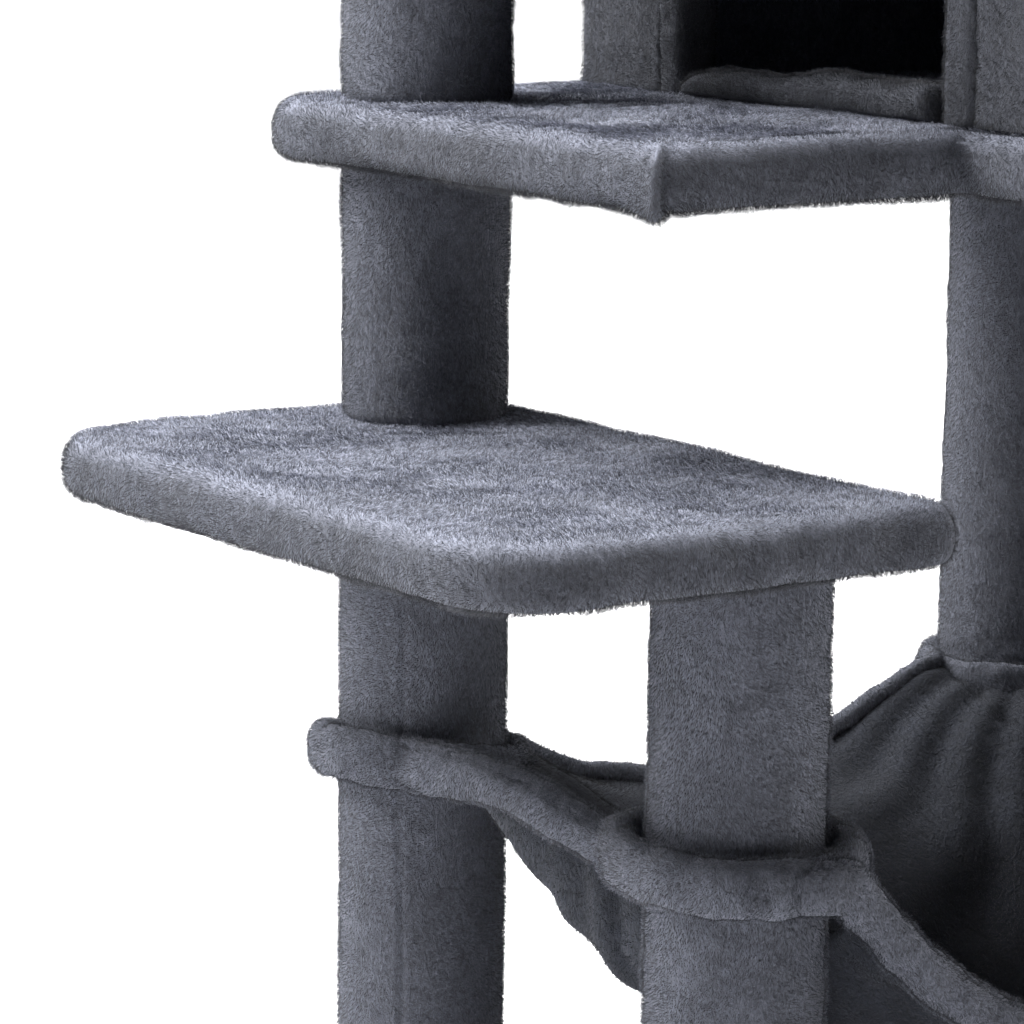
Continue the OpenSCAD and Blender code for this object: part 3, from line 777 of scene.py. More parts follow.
def upper_warp(V, nrm):
    """A pinched, mitred corner with a fold in the cloth, and a crease where the platform meets the condo's deck."""
    c = np.array([ulo[0], IN_Y])
    d = V[:, :2] - c
    b = np.array([0.7071, 0.7071])
    along = d @ b
    cross = d @ np.array([-0.7071, 0.7071])
    near = np.exp(-np.clip(along - 6, 0, None) ** 2 / 26.0 ** 2) * step01(cross, -30, -14) * (1 - step01(cross, 14, 30))
    zt = (V[:, 2] - (uhi[2] - 30)) / 30
    ridge = 2.6 * gauss(cross - 1.5, 2.8) - 2.4 * gauss(cross + 3.2, 2.4) + 1.0 * gauss(cross - 9, 5)
    out = V + nrm * (ridge * near * (0.55 + 0.45 * (1 - zt)))[:, None]
    # loose cloth hanging below the fold
    low_ = gauss(cross - 6, 9) * np.exp(-np.clip(along, 0, None) ** 2 / 22 ** 2) * (1 - step01(zt, 0.0, 0.45))
    out[:, 2] -= 3.4 * low_
    d2 = np.abs((V[:, 0] - IN_X) - (V[:, 1] - IN_Y)) * 0.7071
    e = np.hypot(V[:, 0] - IN_X, V[:, 1] - IN_Y)
    out = out - nrm * (2.2 * gauss(d2, 4.5) * gauss(e, 20))[:, None]
    return out


up = deck_cover("upper_platform_plush",
                [(ulo[0], IN_Y), (IN_X, IN_Y), (IN_X, ulo[1]), (uhi[0], ulo[1]), (uhi[0], uhi[1]), (ulo[0], uhi[1])],
                [3.5, 6, 25, 25, 25, 30], uhi[2], "upper_platform_cover", 41, warp=upper_warp)
rlo, rhi = box_mm("roof_cover")
roof = deck_cover("roof_plush", rect((rlo[0], rlo[1], rhi[0], rhi[1])), [30] * 4, rhi[2], "roof_cover", 51)


# ---------------------------------------------------------------- post sleeves
def sleeve(name, node, seed, seam_at=-1.25, twist=0.0):
    lo, hi = box_mm(node)
    cx, cy = (lo[0] + hi[0]) / 2, (lo[1] + hi[1]) / 2
    ro = (hi[0] - lo[0]) / 2 - (0.7 if node in ("tall_post_lower_sleeve", "tall_post_upper_sleeve") else 1.5)
    z0, z1 = lo[2] + 0.1, hi[2] - 0.1
    cols, rows = 112, max(8, int((z1 - z0) / 3.2))
    ph = np.linspace(0, 2 * math.pi, cols, endpoint=False)
    # closer columns by the seam
    ph = ph + 0.35 * np.sin(ph - seam_at) * -1.0 * 0.55
    zz = np.linspace(z0, z1, rows)
    big, mid, small = waves(seed, 170), waves(seed + 1, 52), waves(seed + 2, 16)
    V = []
    for z in zz:
        p0 = np.column_stack([cx + ro * np.cos(ph), cy + ro * np.sin(ph), np.full(cols, z)])
        sa = seam_at + twist * (z - z0) / max(z1 - z0, 1) + 0.012 * math.sin(z / 23.0)
        ds = np.angle(np.exp(1j * (ph - sa))) * ro
        dr = 0.26 * big(p0) + 0.24 * mid(p0) + 0.14 * small(p0)
        dr += 0.4 * gauss(ds - 3.0, 2.4) + 0.35 * gauss(ds + 3.0, 2.4) - 1.0 * gauss(ds, 1.3)
        e = min(z - z0, z1 - z)
        dr -= 1.2 * math.exp(-e / 2.5)
        r = ro + dr
        V.append(np.column_stack([cx + r * np.cos(ph), cy + r * np.sin(ph), np.full(cols, z)]))
    V = np.vstack(V)
    F = grid_faces(rows, cols, wrap_c=True)
    n_out = len(V)
    ri = 36.05
    a = np.column_stack([cx + ri * np.cos(ph), cy + ri * np.sin(ph), np.full(cols, z0)])
    b = np.column_stack([cx + ri * np.cos(ph), cy + ri * np.sin(ph), np.full(cols, z1)])
    V = np.vstack([V, a, b])
    for j in range(cols):
        j2 = (j + 1) % cols
        F.append((n_out + j, n_out + j2, j2, j))
        t = (rows - 1) * cols
        F.append((t + j, t + j2, n_out + cols + j2, n_out + cols + j))
        F.append((n_out + cols + j, n_out + cols + j2, n_out + j2, n_out + j))
    pile = np.zeros(len(V))
    pile[:n_out] = 1
    zz_all = V[:n_out, 2]
    pile[:n_out] *= np.clip((zz_all - z0) / 3, 0, 1) * np.clip((z1 - zz_all) / 3, 0, 1) * 0.9 + 0.1
    return mesh_object(name, V, F, SKIN["post"], "frame", node, pile, dict(fibre="post", down=(0.1, 0.0, -0.55)))


# the seam of the tall post faces the viewer's left of centre
for i, (node, sa) in enumerate((("tall_post_lower_sleeve", -2.42), ("tall_post_middle_sleeve", 0.9), ("tall_post_upper_sleeve", 0.9),
                                ("step_post_sleeve", 1.1), ("rear_post_sleeve", 0.6), ("side_post_sleeve", 0.3))):
    sleeve(node.replace("_sleeve", "_plush"), node, 61 + 7 * i, sa)


# ---------------------------------------------------------------- condo
clo, chi = box_mm("condo_outer_cover")
WX0, WY0, WX1, WY1 = clo[0], clo[1], chi[0], chi[1]
Z0, Z1 = clo[2], chi[2]
DY0, DY1, DH, DR = -98.0, 89.0, 215.0, 40.0
BW = 19.0


def door_loop(g, step=4.0, arc=16, z_low=None):
    """The doorway's edge from the lower -Y end up, over and down the +Y side, moved outwards by g: (y, z) and outward (y, z)."""
    zl = Z0 if z_low is None else z_low
    y0, y1, zt, r = DY0 - g, DY1 + g, Z0 + DH + g, DR + g
    P, D = [], []
    m = int((zt - r - zl) / step)
    for k in range(m):
        P.append((y0, zl + (zt - r - zl) * k / m)); D.append((-1, 0))
    for k in range(arc):
        t = math.pi - (math.pi / 2) * k / arc
        P.append((y0 + r + r * math.cos(t), zt - r + r * math.sin(t))); D.append((math.cos(t), math.sin(t)))
    m2 = int((y1 - y0 - 2 * r) / step)
    for k in range(m2):
        P.append((y0 + r + (y1 - y0 - 2 * r) * k / m2, zt)); D.append((0, 1))
    for k in range(arc):
        t = math.pi / 2 - (math.pi / 2) * k / arc
        P.append((y1 - r + r * math.cos(t), zt - r + r * math.sin(t))); D.append((math.cos(t), math.sin(t)))
    for k in range(m + 1):
        P.append((y1, zt - r - (zt - r - zl) * k / m)); D.append((1, 0))
    return np.array(P), np.array(D, float)


def wall_shell(name, inset, r, skin, node, mat, hole_g, seed, inward=False, crease=None, fur=None, zlo=Z0, zhi=Z1):
    """A soft wall covering all round the condo as one sheet with the doorway cut out, unrolled, filled and wrapped back."""
    corners = rect((WX0 + inset, WY0 + inset, WX1 - inset, WY1 - inset))
    per, dirs, _ = rpoly(corners, [r] * 4, 0.0, 4.0, 10)
    # start the roll at the middle of the +X side so that the doorway side is in one stretch
    k0 = int(np.argmin(np.hypot(per[:, 0] - (WX1 - inset), per[:, 1])))
    per, dirs = np.roll(per, -k0, 0), np.roll(dirs, -k0, 0)
    seg = np.linalg.norm(np.roll(per, -1, 0) - per, axis=1)
    S = np.concatenate([[0], np.cumsum(seg)])
    tot = S[-1]
    # s at which the -X side has a given y (that side runs towards -Y in counter-clockwise order)
    on = np.where(np.abs(per[:, 0] - (WX0 + inset)) < 0.01)[0]
    s_a, y_a = S[on[0]], per[on[0], 1]

    def s_of_y(y):
        return s_a + (y_a - y)

    left = [(0.0, z) for z in np.arange(zhi, zlo + 1, -5.0)]
    m = max(4, int(tot / 4.0))
    bottom_all = np.linspace(0, tot, m + 1)
    P, _ = door_loop(hole_g, 4.0, 14, zlo)
    hs = s_of_y(P[:, 0])
    sa, sb = hs.max(), hs.min()          # sa for the -Y end
    loop = list(left)
    loop += [(s, zlo) for s in bottom_all if s < sb - 2]
    # up the +Y side of the doorway, over and down the -Y side, cut out of the bottom edge
    for s, z in zip(hs[::-1], P[::-1, 1]):
        loop.append((s, z))
    loop += [(s, zlo) for s in bottom_all if s > sa + 2]
    loop += [(tot, z) for z in np.arange(zlo + 5, zhi - 1, 5.0)]
    loop += [(s, zhi) for s in bottom_all[::-1] if s > 1]
    # drop doubled points
    ring = []
    for p in loop:
        if not ring or math.hypot(p[0] - ring[-1][0], p[1] - ring[-1][1]) > 0.5:
            ring.append(p)
    if math.hypot(ring[0][0] - ring[-1][0], ring[0][1] - ring[-1][1]) < 0.5:
        ring.pop()
    ring = np.array(ring)
    V2, F2 = fill(ring, 5.0, seed)
    s = np.clip(V2[:, 0], 0, tot)
    px = np.interp(s, S, np.append(per[:, 0], per[0, 0]))
    py = np.interp(s, S, np.append(per[:, 1], per[0, 1]))
    dx = np.interp(s, S, np.append(dirs[:, 0], dirs[0, 0]))
    dy = np.interp(s, S, np.append(dirs[:, 1], dirs[0, 1]))
    ln_ = np.hypot(dx, dy)
    dx, dy = dx / ln_, dy / ln_
    V = np.column_stack([px, py, V2[:, 1]])
    Nn = np.column_stack([dx, dy, np.zeros(len(V))])
    if inward:
        Nn = -Nn
    disp = crease(V, s, s_of_y) if crease else np.zeros(len(V))
    edge = np.clip((V[:, 2] - zlo) / 6, 0, 1) * np.clip((zhi - V[:, 2]) / 6, 0, 1)
    V = V + Nn * (disp * (0.25 + 0.75 * edge))[:, None]
    # close the roll
    key = {}
    remap = np.arange(len(V))
    ends0 = [i for i in range(len(V)) if V2[i, 0] < 0.01]
    ends1 = {round(float(V2[i, 1]), 1): i for i in range(len(V)) if abs(V2[i, 0] - tot) < 0.01}
    for i in ends0:
        j = ends1.get(round(float(V2[i, 1]), 1))
        if j is not None:
            remap[j] = i
    F = []
    for f in F2:
        g = tuple(int(remap[i]) for i in f)
        if len(set(g)) == 3:
            F.append(tuple(reversed(g)) if inward else g)
    used = sorted({i for f in F for i in f})
    back = {u: k for k, u in enumerate(used)}
    V, Nn = V[used], Nn[used]
    F = [tuple(back[i] for i in f) for f in F]
    # face the right way
    n = normals(V, F)
    if (n * Nn).sum() < 0:
        F = [tuple(reversed(f)) for f in F]
    V3, F3, _ = thicken(V, F, skin, Nn)
    pile = np.zeros(len(V3))
    pile[:len(V)] = 1
    return mesh_object(name, V3, F3, mat, "frame", node, pile, fur)


cb, cm, cs = waves(301, 120), waves(302, 38), waves(303, 14)


def outer_crease(V, s, s_of_y):
    d = 0.8 * cb(V) + 0.55 * cm(V * [1, 1, 0.35]) + 0.25 * cs(V) - 0.8
    front = V[:, 0] < WX0 + 1.0
    y = V[:, 1]
    # soft vertical folds in the cloth beside the doorway
    wob = 2.2 * np.sin(V[:, 2] / 31.0) + 1.2 * np.sin(V[:, 2] / 13.0 + 1)
    for y0, w, a in ((DY1 + BW + 21 , 5.0, 1.5), (DY1 + BW + 9, 3.4, -2.0), (DY1 + BW + 4, 2.6, 1.5), (DY1 + BW + 40, 9, 1.0),
                     (DY1 + BW + 31, 4, -1.3), (DY0 - BW - 7, 4, 0.9), (DY0 - BW - 20, 8, -0.7)):
        d = d + np.where(front, a * gauss(y - y0 - wob * 0.6, w), 0)
    # sewn seams up the corners
    for cx, cy in ((WX0, WY0), (WX0, WY1), (WX1, WY0), (WX1, WY1)):
        e = np.hypot(V[:, 0] - cx, V[:, 1] - cy)
        d = d + 1.2 * gauss(e - 9, 5) + 0.5 * gauss(e, 6)
    # tucked in beside the binding
    P, _ = door_loop(BW, 6.0)
    dist = np.full(len(V), 1e9)
    for q in P:
        dist = np.minimum(dist, np.hypot(V[:, 1] - q[0], V[:, 2] - q[1]))
    d = d - np.where(front, 2.2 * gauss(dist, 3.0), 0)
    return np.clip(d, -1.4, 2.2)


wall_shell("condo_outer_plush", 0.6, 6.0, 2.4, "condo_outer_cover", SKIN["condo"], BW - 1.0, 71,
           crease=outer_crease, fur=dict(fibre="condo", down=(0.0, -0.2, -0.5)))
lb, lm = waves(311, 130), waves(312, 45)
wall_shell("condo_lining_plush", 19.0, 6.0, 2.8, "condo_lining", SKIN["lining"], BW - 1.0, 72, inward=True,
           crease=lambda V, s, f: np.clip(0.9 * lb(V) + 0.6 * lm(V * [1, 1, 0.4]), -1.0, 2.2) + 0.6,
           fur=dict(fibre="lining", density=0.35, length=2.8, radius=0.12))


def binding():
    """Rolled plush edging round the doorway: a closed padded channel that hugs the wall's edge."""
    X0, X1 = WX0, WX0 + 22.0
    # section (a = distance from the opening, x), counter-clockwise
    pts = [(20.0, X0 + 3.4), (19.6, X0 + 0.8), (17.5, X0 - 1.2), (14, X0 - 2.2), (10, X0 - 2.5), (6, X0 - 2.3), (3.2, X0 - 1.2), (1.4, X0 + 0.8),
           (0.6, X0 + 3.5), (0.3, X0 + 8), (0.3, X0 + 12.5), (0.7, X0 + 17), (1.8, X0 + 20), (4, X0 + 21.8), (8, X0 + 22.6), (13, X0 + 22.4),
           (17.5, X0 + 21.2), (19.5, X0 + 19.0), (19.8, X0 + 17.0), (8.5, X0 + 16.3), (4.2, X0 + 15.8), (4.2, X0 + 10), (4.2, X0 + 4.3), (8.5, X0 + 3.9)]
    A = np.array(pts)
    # denser section
    B = []
    for i in range(len(A)):
        a, b = A[i], A[(i + 1) % len(A)]
        m = 3 if i < 18 else 1
        for k in range(m):
            B.append(a + (b - a) * k / m)
    B = np.array(B)
    P, D = door_loop(0.0, 3.0, 22, Z0 + 0.3)
    wv, wm, ws = waves(320, 70), waves(321, 24), waves(322, 11)
    rows = []
    for p, d in zip(P, D):
        yz = p[None, :] + d[None, :] * B[:, :1]
        rows.append(np.column_stack([B[:, 1], yz]))
    V = np.vstack(rows)
    cols = len(B)
    F = grid_faces(len(rows), cols, wrap_c=True)
    n = normals(V, F)
    if (n[:, 0] * np.sign(V[:, 0] - (X0 + 10))).sum() < 0:
        F = [tuple(reversed(f)) for f in F]
        n = -n
    seen = np.tile((np.arange(cols) < 3 * 18).astype(float), len(rows))
    a_all = np.tile(B[:, 0], len(rows))
    puck = 0.45 * wv(V) + 0.4 * wm(V) + 0.35 * ws(V)
    V = V + n * (puck * seen * np.clip(a_all / 20 + 0.5, 0, 1))[:, None]
    V[:, 2] = np.maximum(V[:, 2], Z0 + 0.2)
    first, last = list(range(cols)), [(len(rows) - 1) * cols + i for i in range(cols)]
    # end caps
    for ringi, rev in ((first, False), (last, True)):
        c = len(V)
        V = np.vstack([V, V[ringi].mean(0)])
        # cap as a fan over the channel's bar
        f_ = [(ringi[i], ringi[(i + 1) % cols], c) for i in range(cols)]
        F += [tuple(reversed(t)) for t in f_] if rev else f_
    pile = np.concatenate([seen, np.zeros(len(V) - len(seen))])
    return mesh_object("doorway_binding_plush", V, F, SKIN["condo"], "frame", "doorway_binding", pile,
                       dict(fibre="condo", down=(-0.3, 0.0, -0.25)))


binding()


def sill():
    """A padded lip along the doorway's foot, low at its +Y end and full at the other."""
    lo, hi = box_mm("doorway_sill")
    y0, y1 = lo[1] + 1.0, hi[1] - 1.0
    rows, cols = 74, 44
    V = []
    w = waves(331, 40)
    w2 = waves(332, 15)
    for i in range(rows):
        t = i / (rows - 1)
        y = y1 + (y0 - y1) * t
        # rounded ends
        e = min(1.0, math.sqrt(max(0.0, 1 - (1 - min(t * 9, 1)) ** 2)) if t < 1 / 9 else 1.0)
        e2 = 1.0 if t < 0.97 else math.sqrt(max(0.0, 1 - ((t - 0.97) / 0.03) ** 2))
        k = max(0.10, e) * max(0.25, e2)
        hgt = (11.5 + 5.0 * step01(np.array([t]), 0.0, 0.75)[0]) * k
        xa = lo[0] - 1.0 * k + (1 - k) * 8
        xb = hi[0] + 3.0
        for j in range(cols):
            a = 2 * math.pi * j / cols
            c, s_ = math.cos(a), math.sin(a)
            ex = 2.6
            X = (xa + xb) / 2 + (xb - xa) / 2 * math.copysign(abs(c) ** (2 / ex), c)
            Z = Z0 + 0.3 + hgt / 2 + hgt / 2 * math.copysign(abs(s_) ** (2 / ex), s_)
            V.append((X, y, Z))
    V = np.array(V)
    F = grid_faces(rows, cols, wrap_c=True)
    n = normals(V, F)
    if (n * (V - V.mean(0)))[:, 2].sum() < 0:
        F = [tuple(reversed(f)) for f in F]
        n = -n
    V = V + n * (0.7 * w(V) + 0.3 * w2(V))[:, None] * np.clip((V[:, 2:] - Z0) / 4, 0, 1)
    for base, rev in ((0, True), ((rows - 1) * cols, False)):
        c = len(V)
        V = np.vstack([V, V[base:base + cols].mean(0)])
        f_ = [(base + i, base + (i + 1) % cols, c) for i in range(cols)]
        F += [tuple(reversed(t)) for t in f_] if rev else f_
    n2 = normals(V, F)
    pile = (n2[:, 2] > -0.6).astype(float)
    return mesh_object("doorway_sill_plush", V, F, SKIN["condo"], "frame", "doorway_sill", pile,
                       dict(fibre="condo", down=(-0.3, 0.0, -0.2)))


sill()

# ---------------------------------------------------------------- hammock
POST = {"tall": (-180.0, 130.0), "step": (-176.0, -108.0), "rear": (193.0, 130.0), "side": (193.0, -108.0)}


def spline(points, n):
    """Catmull-Rom through the points, n samples spread by length."""
    P = np.array(points, float)
    Q = np.vstack([2 * P[0] - P[1], P, 2 * P[-1] - P[-2]])
    out = []
    for i in range(1, len(Q) - 2):
        for t in np.linspace(0, 1, 24, endpoint=False):
            a, b, c, d = Q[i - 1], Q[i], Q[i + 1], Q[i + 2]
            out.append(0.5 * ((2 * b) + (-a + c) * t + (2 * a - 5 * b + 4 * c - d) * t ** 2 + (-a + 3 * b - 3 * c + d) * t ** 3))
    out.append(P[-1])
    out = np.array(out)
    L = np.concatenate([[0], np.cumsum(np.linalg.norm(np.diff(out[:, :3], axis=0), axis=1))])
    s = np.linspace(0, L[-1], n)
    return np.column_stack([np.interp(s, L, out[:, k]) for k in range(out.shape[1])]), L[-1]


def tube(name, rows5, node, seed, n=None, cols=30, closed=False, fold=None, lump=1.0, mat="rim", fur=None, keep_off=()):
    """A padded roll along rows of (x, y, z, half width, half height). fold = (angle, depth, width) is a lengthwise crease."""
    if closed:
        P = np.array(rows5, float)
    else:
        P, length = spline(rows5, n or max(12, int(np.sum(np.linalg.norm(np.diff(np.array(rows5)[:, :3], axis=0), axis=1)) / 2.6)))
    m = len(P)
    C = P[:, :3]
    T = np.roll(C, -1, 0) - np.roll(C, 1, 0) if closed else np.gradient(C, axis=0)
    T /= np.linalg.norm(T, axis=1)[:, None]
    up_ = np.array([0, 0, 1.0])
    S = np.cross(T, up_)
    S /= np.linalg.norm(S, axis=1)[:, None]
    U = np.cross(S, T)
    ang = np.linspace(0, 2 * math.pi, cols, endpoint=False)
    ex = 2.25
    ca = np.sign(np.cos(ang)) * np.abs(np.cos(ang)) ** (2 / ex)
    sa = np.sign(np.sin(ang)) * np.abs(np.sin(ang)) ** (2 / ex)
    V = (C[:, None, :] + S[:, None, :] * (P[:, 3][:, None] * ca[None])[..., None] + U[:, None, :] * (P[:, 4][:, None] * sa[None])[..., None])
    V = V.reshape(-1, 3)
    F = grid_faces(m, cols, wrap_r=closed, wrap_c=True)
    n_ = normals(V, F)
    out_dir = V - np.repeat(C, cols, 0)
    if (n_ * out_dir).sum() < 0:
        F = [tuple(reversed(f)) for f in F]
        n_ = -n_
    b, mm, s_ = waves(seed, 60), waves(seed + 1, 22), waves(seed + 2, 10)
    d = lump * (0.5 * b(V) + 0.45 * mm(V) + 0.25 * s_(V))
    if fold:
        for fa, dp, fw in fold:
            da = np.angle(np.exp(1j * (ang - math.radians(fa))))
            d = d - np.tile(dp * gauss(da, math.radians(fw)), m)
    if not closed:
        fade = np.minimum(np.arange(m), np.arange(m)[::-1]) / 3.0
        d = d * np.repeat(np.clip(fade, 0, 1), cols)
    V = V + n_ * d[:, None]
    for (px, py, r) in keep_off:
        e = V[:, :2] - [px, py]
        rr = np.hypot(e[:, 0], e[:, 1])
        bad = rr < r
        V[bad, :2] = np.array([px, py]) + e[bad] / rr[bad][:, None] * r
    if not closed:
        for base_, rev in ((0, True), ((m - 1) * cols, False)):
            c = len(V)
            V = np.vstack([V, V[base_:base_ + cols].mean(0)])
            f_ = [(base_ + i, base_ + (i + 1) % cols, c) for i in range(cols)]
            F += [tuple(reversed(t)) for t in f_] if rev else f_
    n_ = normals(V, F)
    if not closed:
        pass
    pile = np.ones(len(V))
    for (px, py, r) in keep_off:
        rr = np.hypot(V[:, 0] - px, V[:, 1] - py)
        pile = np.where(rr < r + 1.2, 0.0, pile)
    f = dict(fibre=mat, length=3.2, density=1.1)
    f.update(fur or {})
    return mesh_object(name, V, F, SKIN[mat], "hammock", node, pile, f)


def loop(name, node, post, zc, hh, rr, half, seed, sag=lambda p: 0.0, bulge=lambda p: 1.0, fold=None):
    """The padded loop round a post, snug on the sleeve; sag and bulge change with the angle round the post."""
    cx, cy = POST[post]
    rows = []
    for ph in np.linspace(0, 2 * math.pi, 120, endpoint=False):
        b = bulge(ph)
        h_ = half * b
        r_ = 40.9 + h_
        rows.append((cx + r_ * math.cos(ph), cy + r_ * math.sin(ph), zc + sag(ph), h_, hh))
    return tube(name, rows, node, seed, closed=True, cols=36, keep_off=((cx, cy, 40.7),), fold=fold)


def toward(ph, deg, w):
    return math.exp(-(math.degrees(math.atan2(math.sin(ph - math.radians(deg)), math.cos(ph - math.radians(deg)))) / w) ** 2)


# angles round a post, degrees from +X towards +Y
TILT = [(-180, 283.5), (-150, 283), (-125, 280.5), (-103, 278), (-80, 275), (-35, 271), (0, 268), (45, 268), (90, 272), (135, 279), (180, 283.5)]


def tilt(ph):
    d = (math.degrees(ph) + 180) % 360 - 180
    return float(np.interp(d, [q[0] for q in TILT], [q[1] for q in TILT])) - 280.0


loop("loop_tall_plush", "loop_tall_post", "tall", 280.0, 12.2, 0, 6.4, 401, sag=tilt, bulge=lambda p: 1.0 + 0.06 * toward(p, 190, 60) - 0.25 * toward(p, 10, 70))
loop("loop_step_plush", "loop_step_post", "step", 274.5, 12.0, 0, 8.6, 411,
     sag=lambda p: 3.5 * toward(p, 110, 60) - 0.5 * toward(p, -90, 50), bulge=lambda p: 1.0 + 0.08 * toward(p, 200, 50), fold=((200, 1.3, 9),))
loop("loop_rear_plush", "loop_rear_post", "rear", 274.0, 12.5, 0, 4.4, 421)
loop("loop_side_plush", "loop_side_post", "side", 275.0, 12.5, 0, 7.6, 431, fold=((200, 1.3, 9),))

ZB = {"v": 0}


def bump(t):
    return 4 * t * (1 - t)


Z1H, Z2H, Z3H, Z4H = 284.0, 274.0, 312.0, 278.0


def rim_z(tbl, x):
    t = np.array(tbl)
    return np.interp(x, t[:, 0], t[:, 1])


FRONT = [(-176, 275), (-165, 274.5), (-158, 271), (-150, 264.5), (-142, 257), (-132, 247.5), (-119, 234.5), (-101, 219.5), (-80, 205), (-55, 192.5), (-25, 183.5), (8, 180), (45, 184.5), (80, 196), (110, 212),
         (135, 231), (152, 248), (165, 262), (176, 271), (193, 275)]
LEFT_A = [(-219, 104, 283, 3.6, 8.0), (-213, 94, 282, 5.2, 10.4), (-208.5, 82, 281.5, 6.8, 11.4), (-205, 62, 282.5, 8.2, 10.8), (-202.5, 40, 283, 9.0, 10), (-200, 24, 281.5, 9.4, 9.8), (-197.5, 8, 278, 9.6, 9.6),
          (-195.5, -5, 274.3, 9.7, 9.6), (-193, -19, 271.0, 9.8, 9.6), (-190.5, -33, 268.5, 9.8, 9.6), (-187, -48, 268, 9.2, 9.4), (-182, -60, 269, 8, 9)]
LEFT_B = [(-142, 160, 268, 4.0, 7), (-135, 146, 268.5, 5.6, 7.6), (-134.5, 132, 270, 6.6, 7.8), (-138, 116, 271.5, 7.2, 7.8), (-143, 104, 270.5, 7.4, 7.6), (-149, 88, 267, 7.4, 7.4), (-156, 68, 260.5, 7.6, 7.6), (-165, 42, 256.5, 7.4, 7.4),
          (-174, 16, 256.0, 7.2, 7.2), (-182, -8, 258.5, 7, 7), (-186, -28, 263, 6.4, 6.8)]
tube("hammock_rim_left_plush", LEFT_A, "hammock_rim_left", 441, fold=((58, 1.1, 12),), keep_off=((-180, 130, 40.7), (-176, -108, 40.7)))
tube("hammock_rim_left_inner_plush", LEFT_B, "hammock_rim_left", 445, fold=((120, 0.8, 14),), keep_off=((-180, 130, 40.7), (-176, -108, 40.7)))

front_rows = [(-212, -147, 274, 4.0, 7.0), (-200, -153.5, 274.2, 6.0, 9.0), (-188, -157.5, 274.0, 7.6, 10.6), (-177, -159.5, 273.5, 9.2, 12.2), (-167, -160, 272.2, 10.0, 13.2)]
for x in (-157, -148, -138, -126, -112, -95, -75, -50, -22, 8, 38, 66, 90, 112, 130, 146, 158, 170, 182):
    z = rim_z(FRONT, x)
    k = step01(np.array([x]), -166, -130)[0]
    front_rows.append((x, -159.5 + 1.5 * k, z, 10.0, 12.8 - 2.9 * k))
front_rows += [(200, -158, 274, 9.5, 11.5), (214, -153, 275, 8.5, 11.5)]
tube("hammock_rim_front_plush", front_rows, "hammock_rim_front", 451, fold=((62, 1.2, 12),), keep_off=((-176, -108, 40.7), (193, -108, 40.7)))

RIGHT = [(193 + 30, 94, 279, 6.0, 12), (214, 84, 279.5, 7.0, 11.6), (206, 66, 281, 8.6, 11), (200, 44, 281.5, 9.8, 10.8), (196, 20, 281, 10.4, 10.6), (194, -5, 279, 10.4, 10.6), (193, -28, 277, 10.4, 10.4), (193, -48, 275.5, 9.8, 10),
         (195, -60, 275, 9, 10)]
tube("hammock_rim_right_plush", RIGHT, "hammock_rim_right", 461, fold=((58, 1.1, 12),), keep_off=((193, 130, 40.7), (193, -108, 40.7)))

# the rear hem is a flatter rolled edge
HEMZ = [(-140, 280.2), (-126, 272.2), (-111, 264.2), (-99, 259.7), (-87, 255.7), (-75, 253.2), (-50, 248.7), (-20, 246.7), (10, 246.7), (40, 249.7), (60, 253.7), (77, 258.7), (90, 264.2), (103, 270.2), (116, 276.2), (129, 282.7), (139, 284.2), (146, 282.2)]
hem_rows = [(-146, 152, 283.5, 4.2, 7.0), (-141, 142, 281.5, 4.4, 6.4)] + [(x, 131 if x > -128 else 134, rim_z(HEMZ, x), 4.4, 5.6) for x in (-134, -126, -111, -99, -87, -75, -50, -20, 10, 40, 60, 77, 90, 103, 116, 129, 139)] + [(147, 140, 283.5, 4.4, 6.0), (152, 150, 282.5, 4.2, 7)]
tube("hammock_rear_hem_plush", hem_rows, "hammock_rear_hem", 471, lump=0.7, cols=24, fold=((300, 1.0, 14),), keep_off=((-180, 130, 40.7), (193, 130, 40.7)),
     fur=dict(length=2.8))


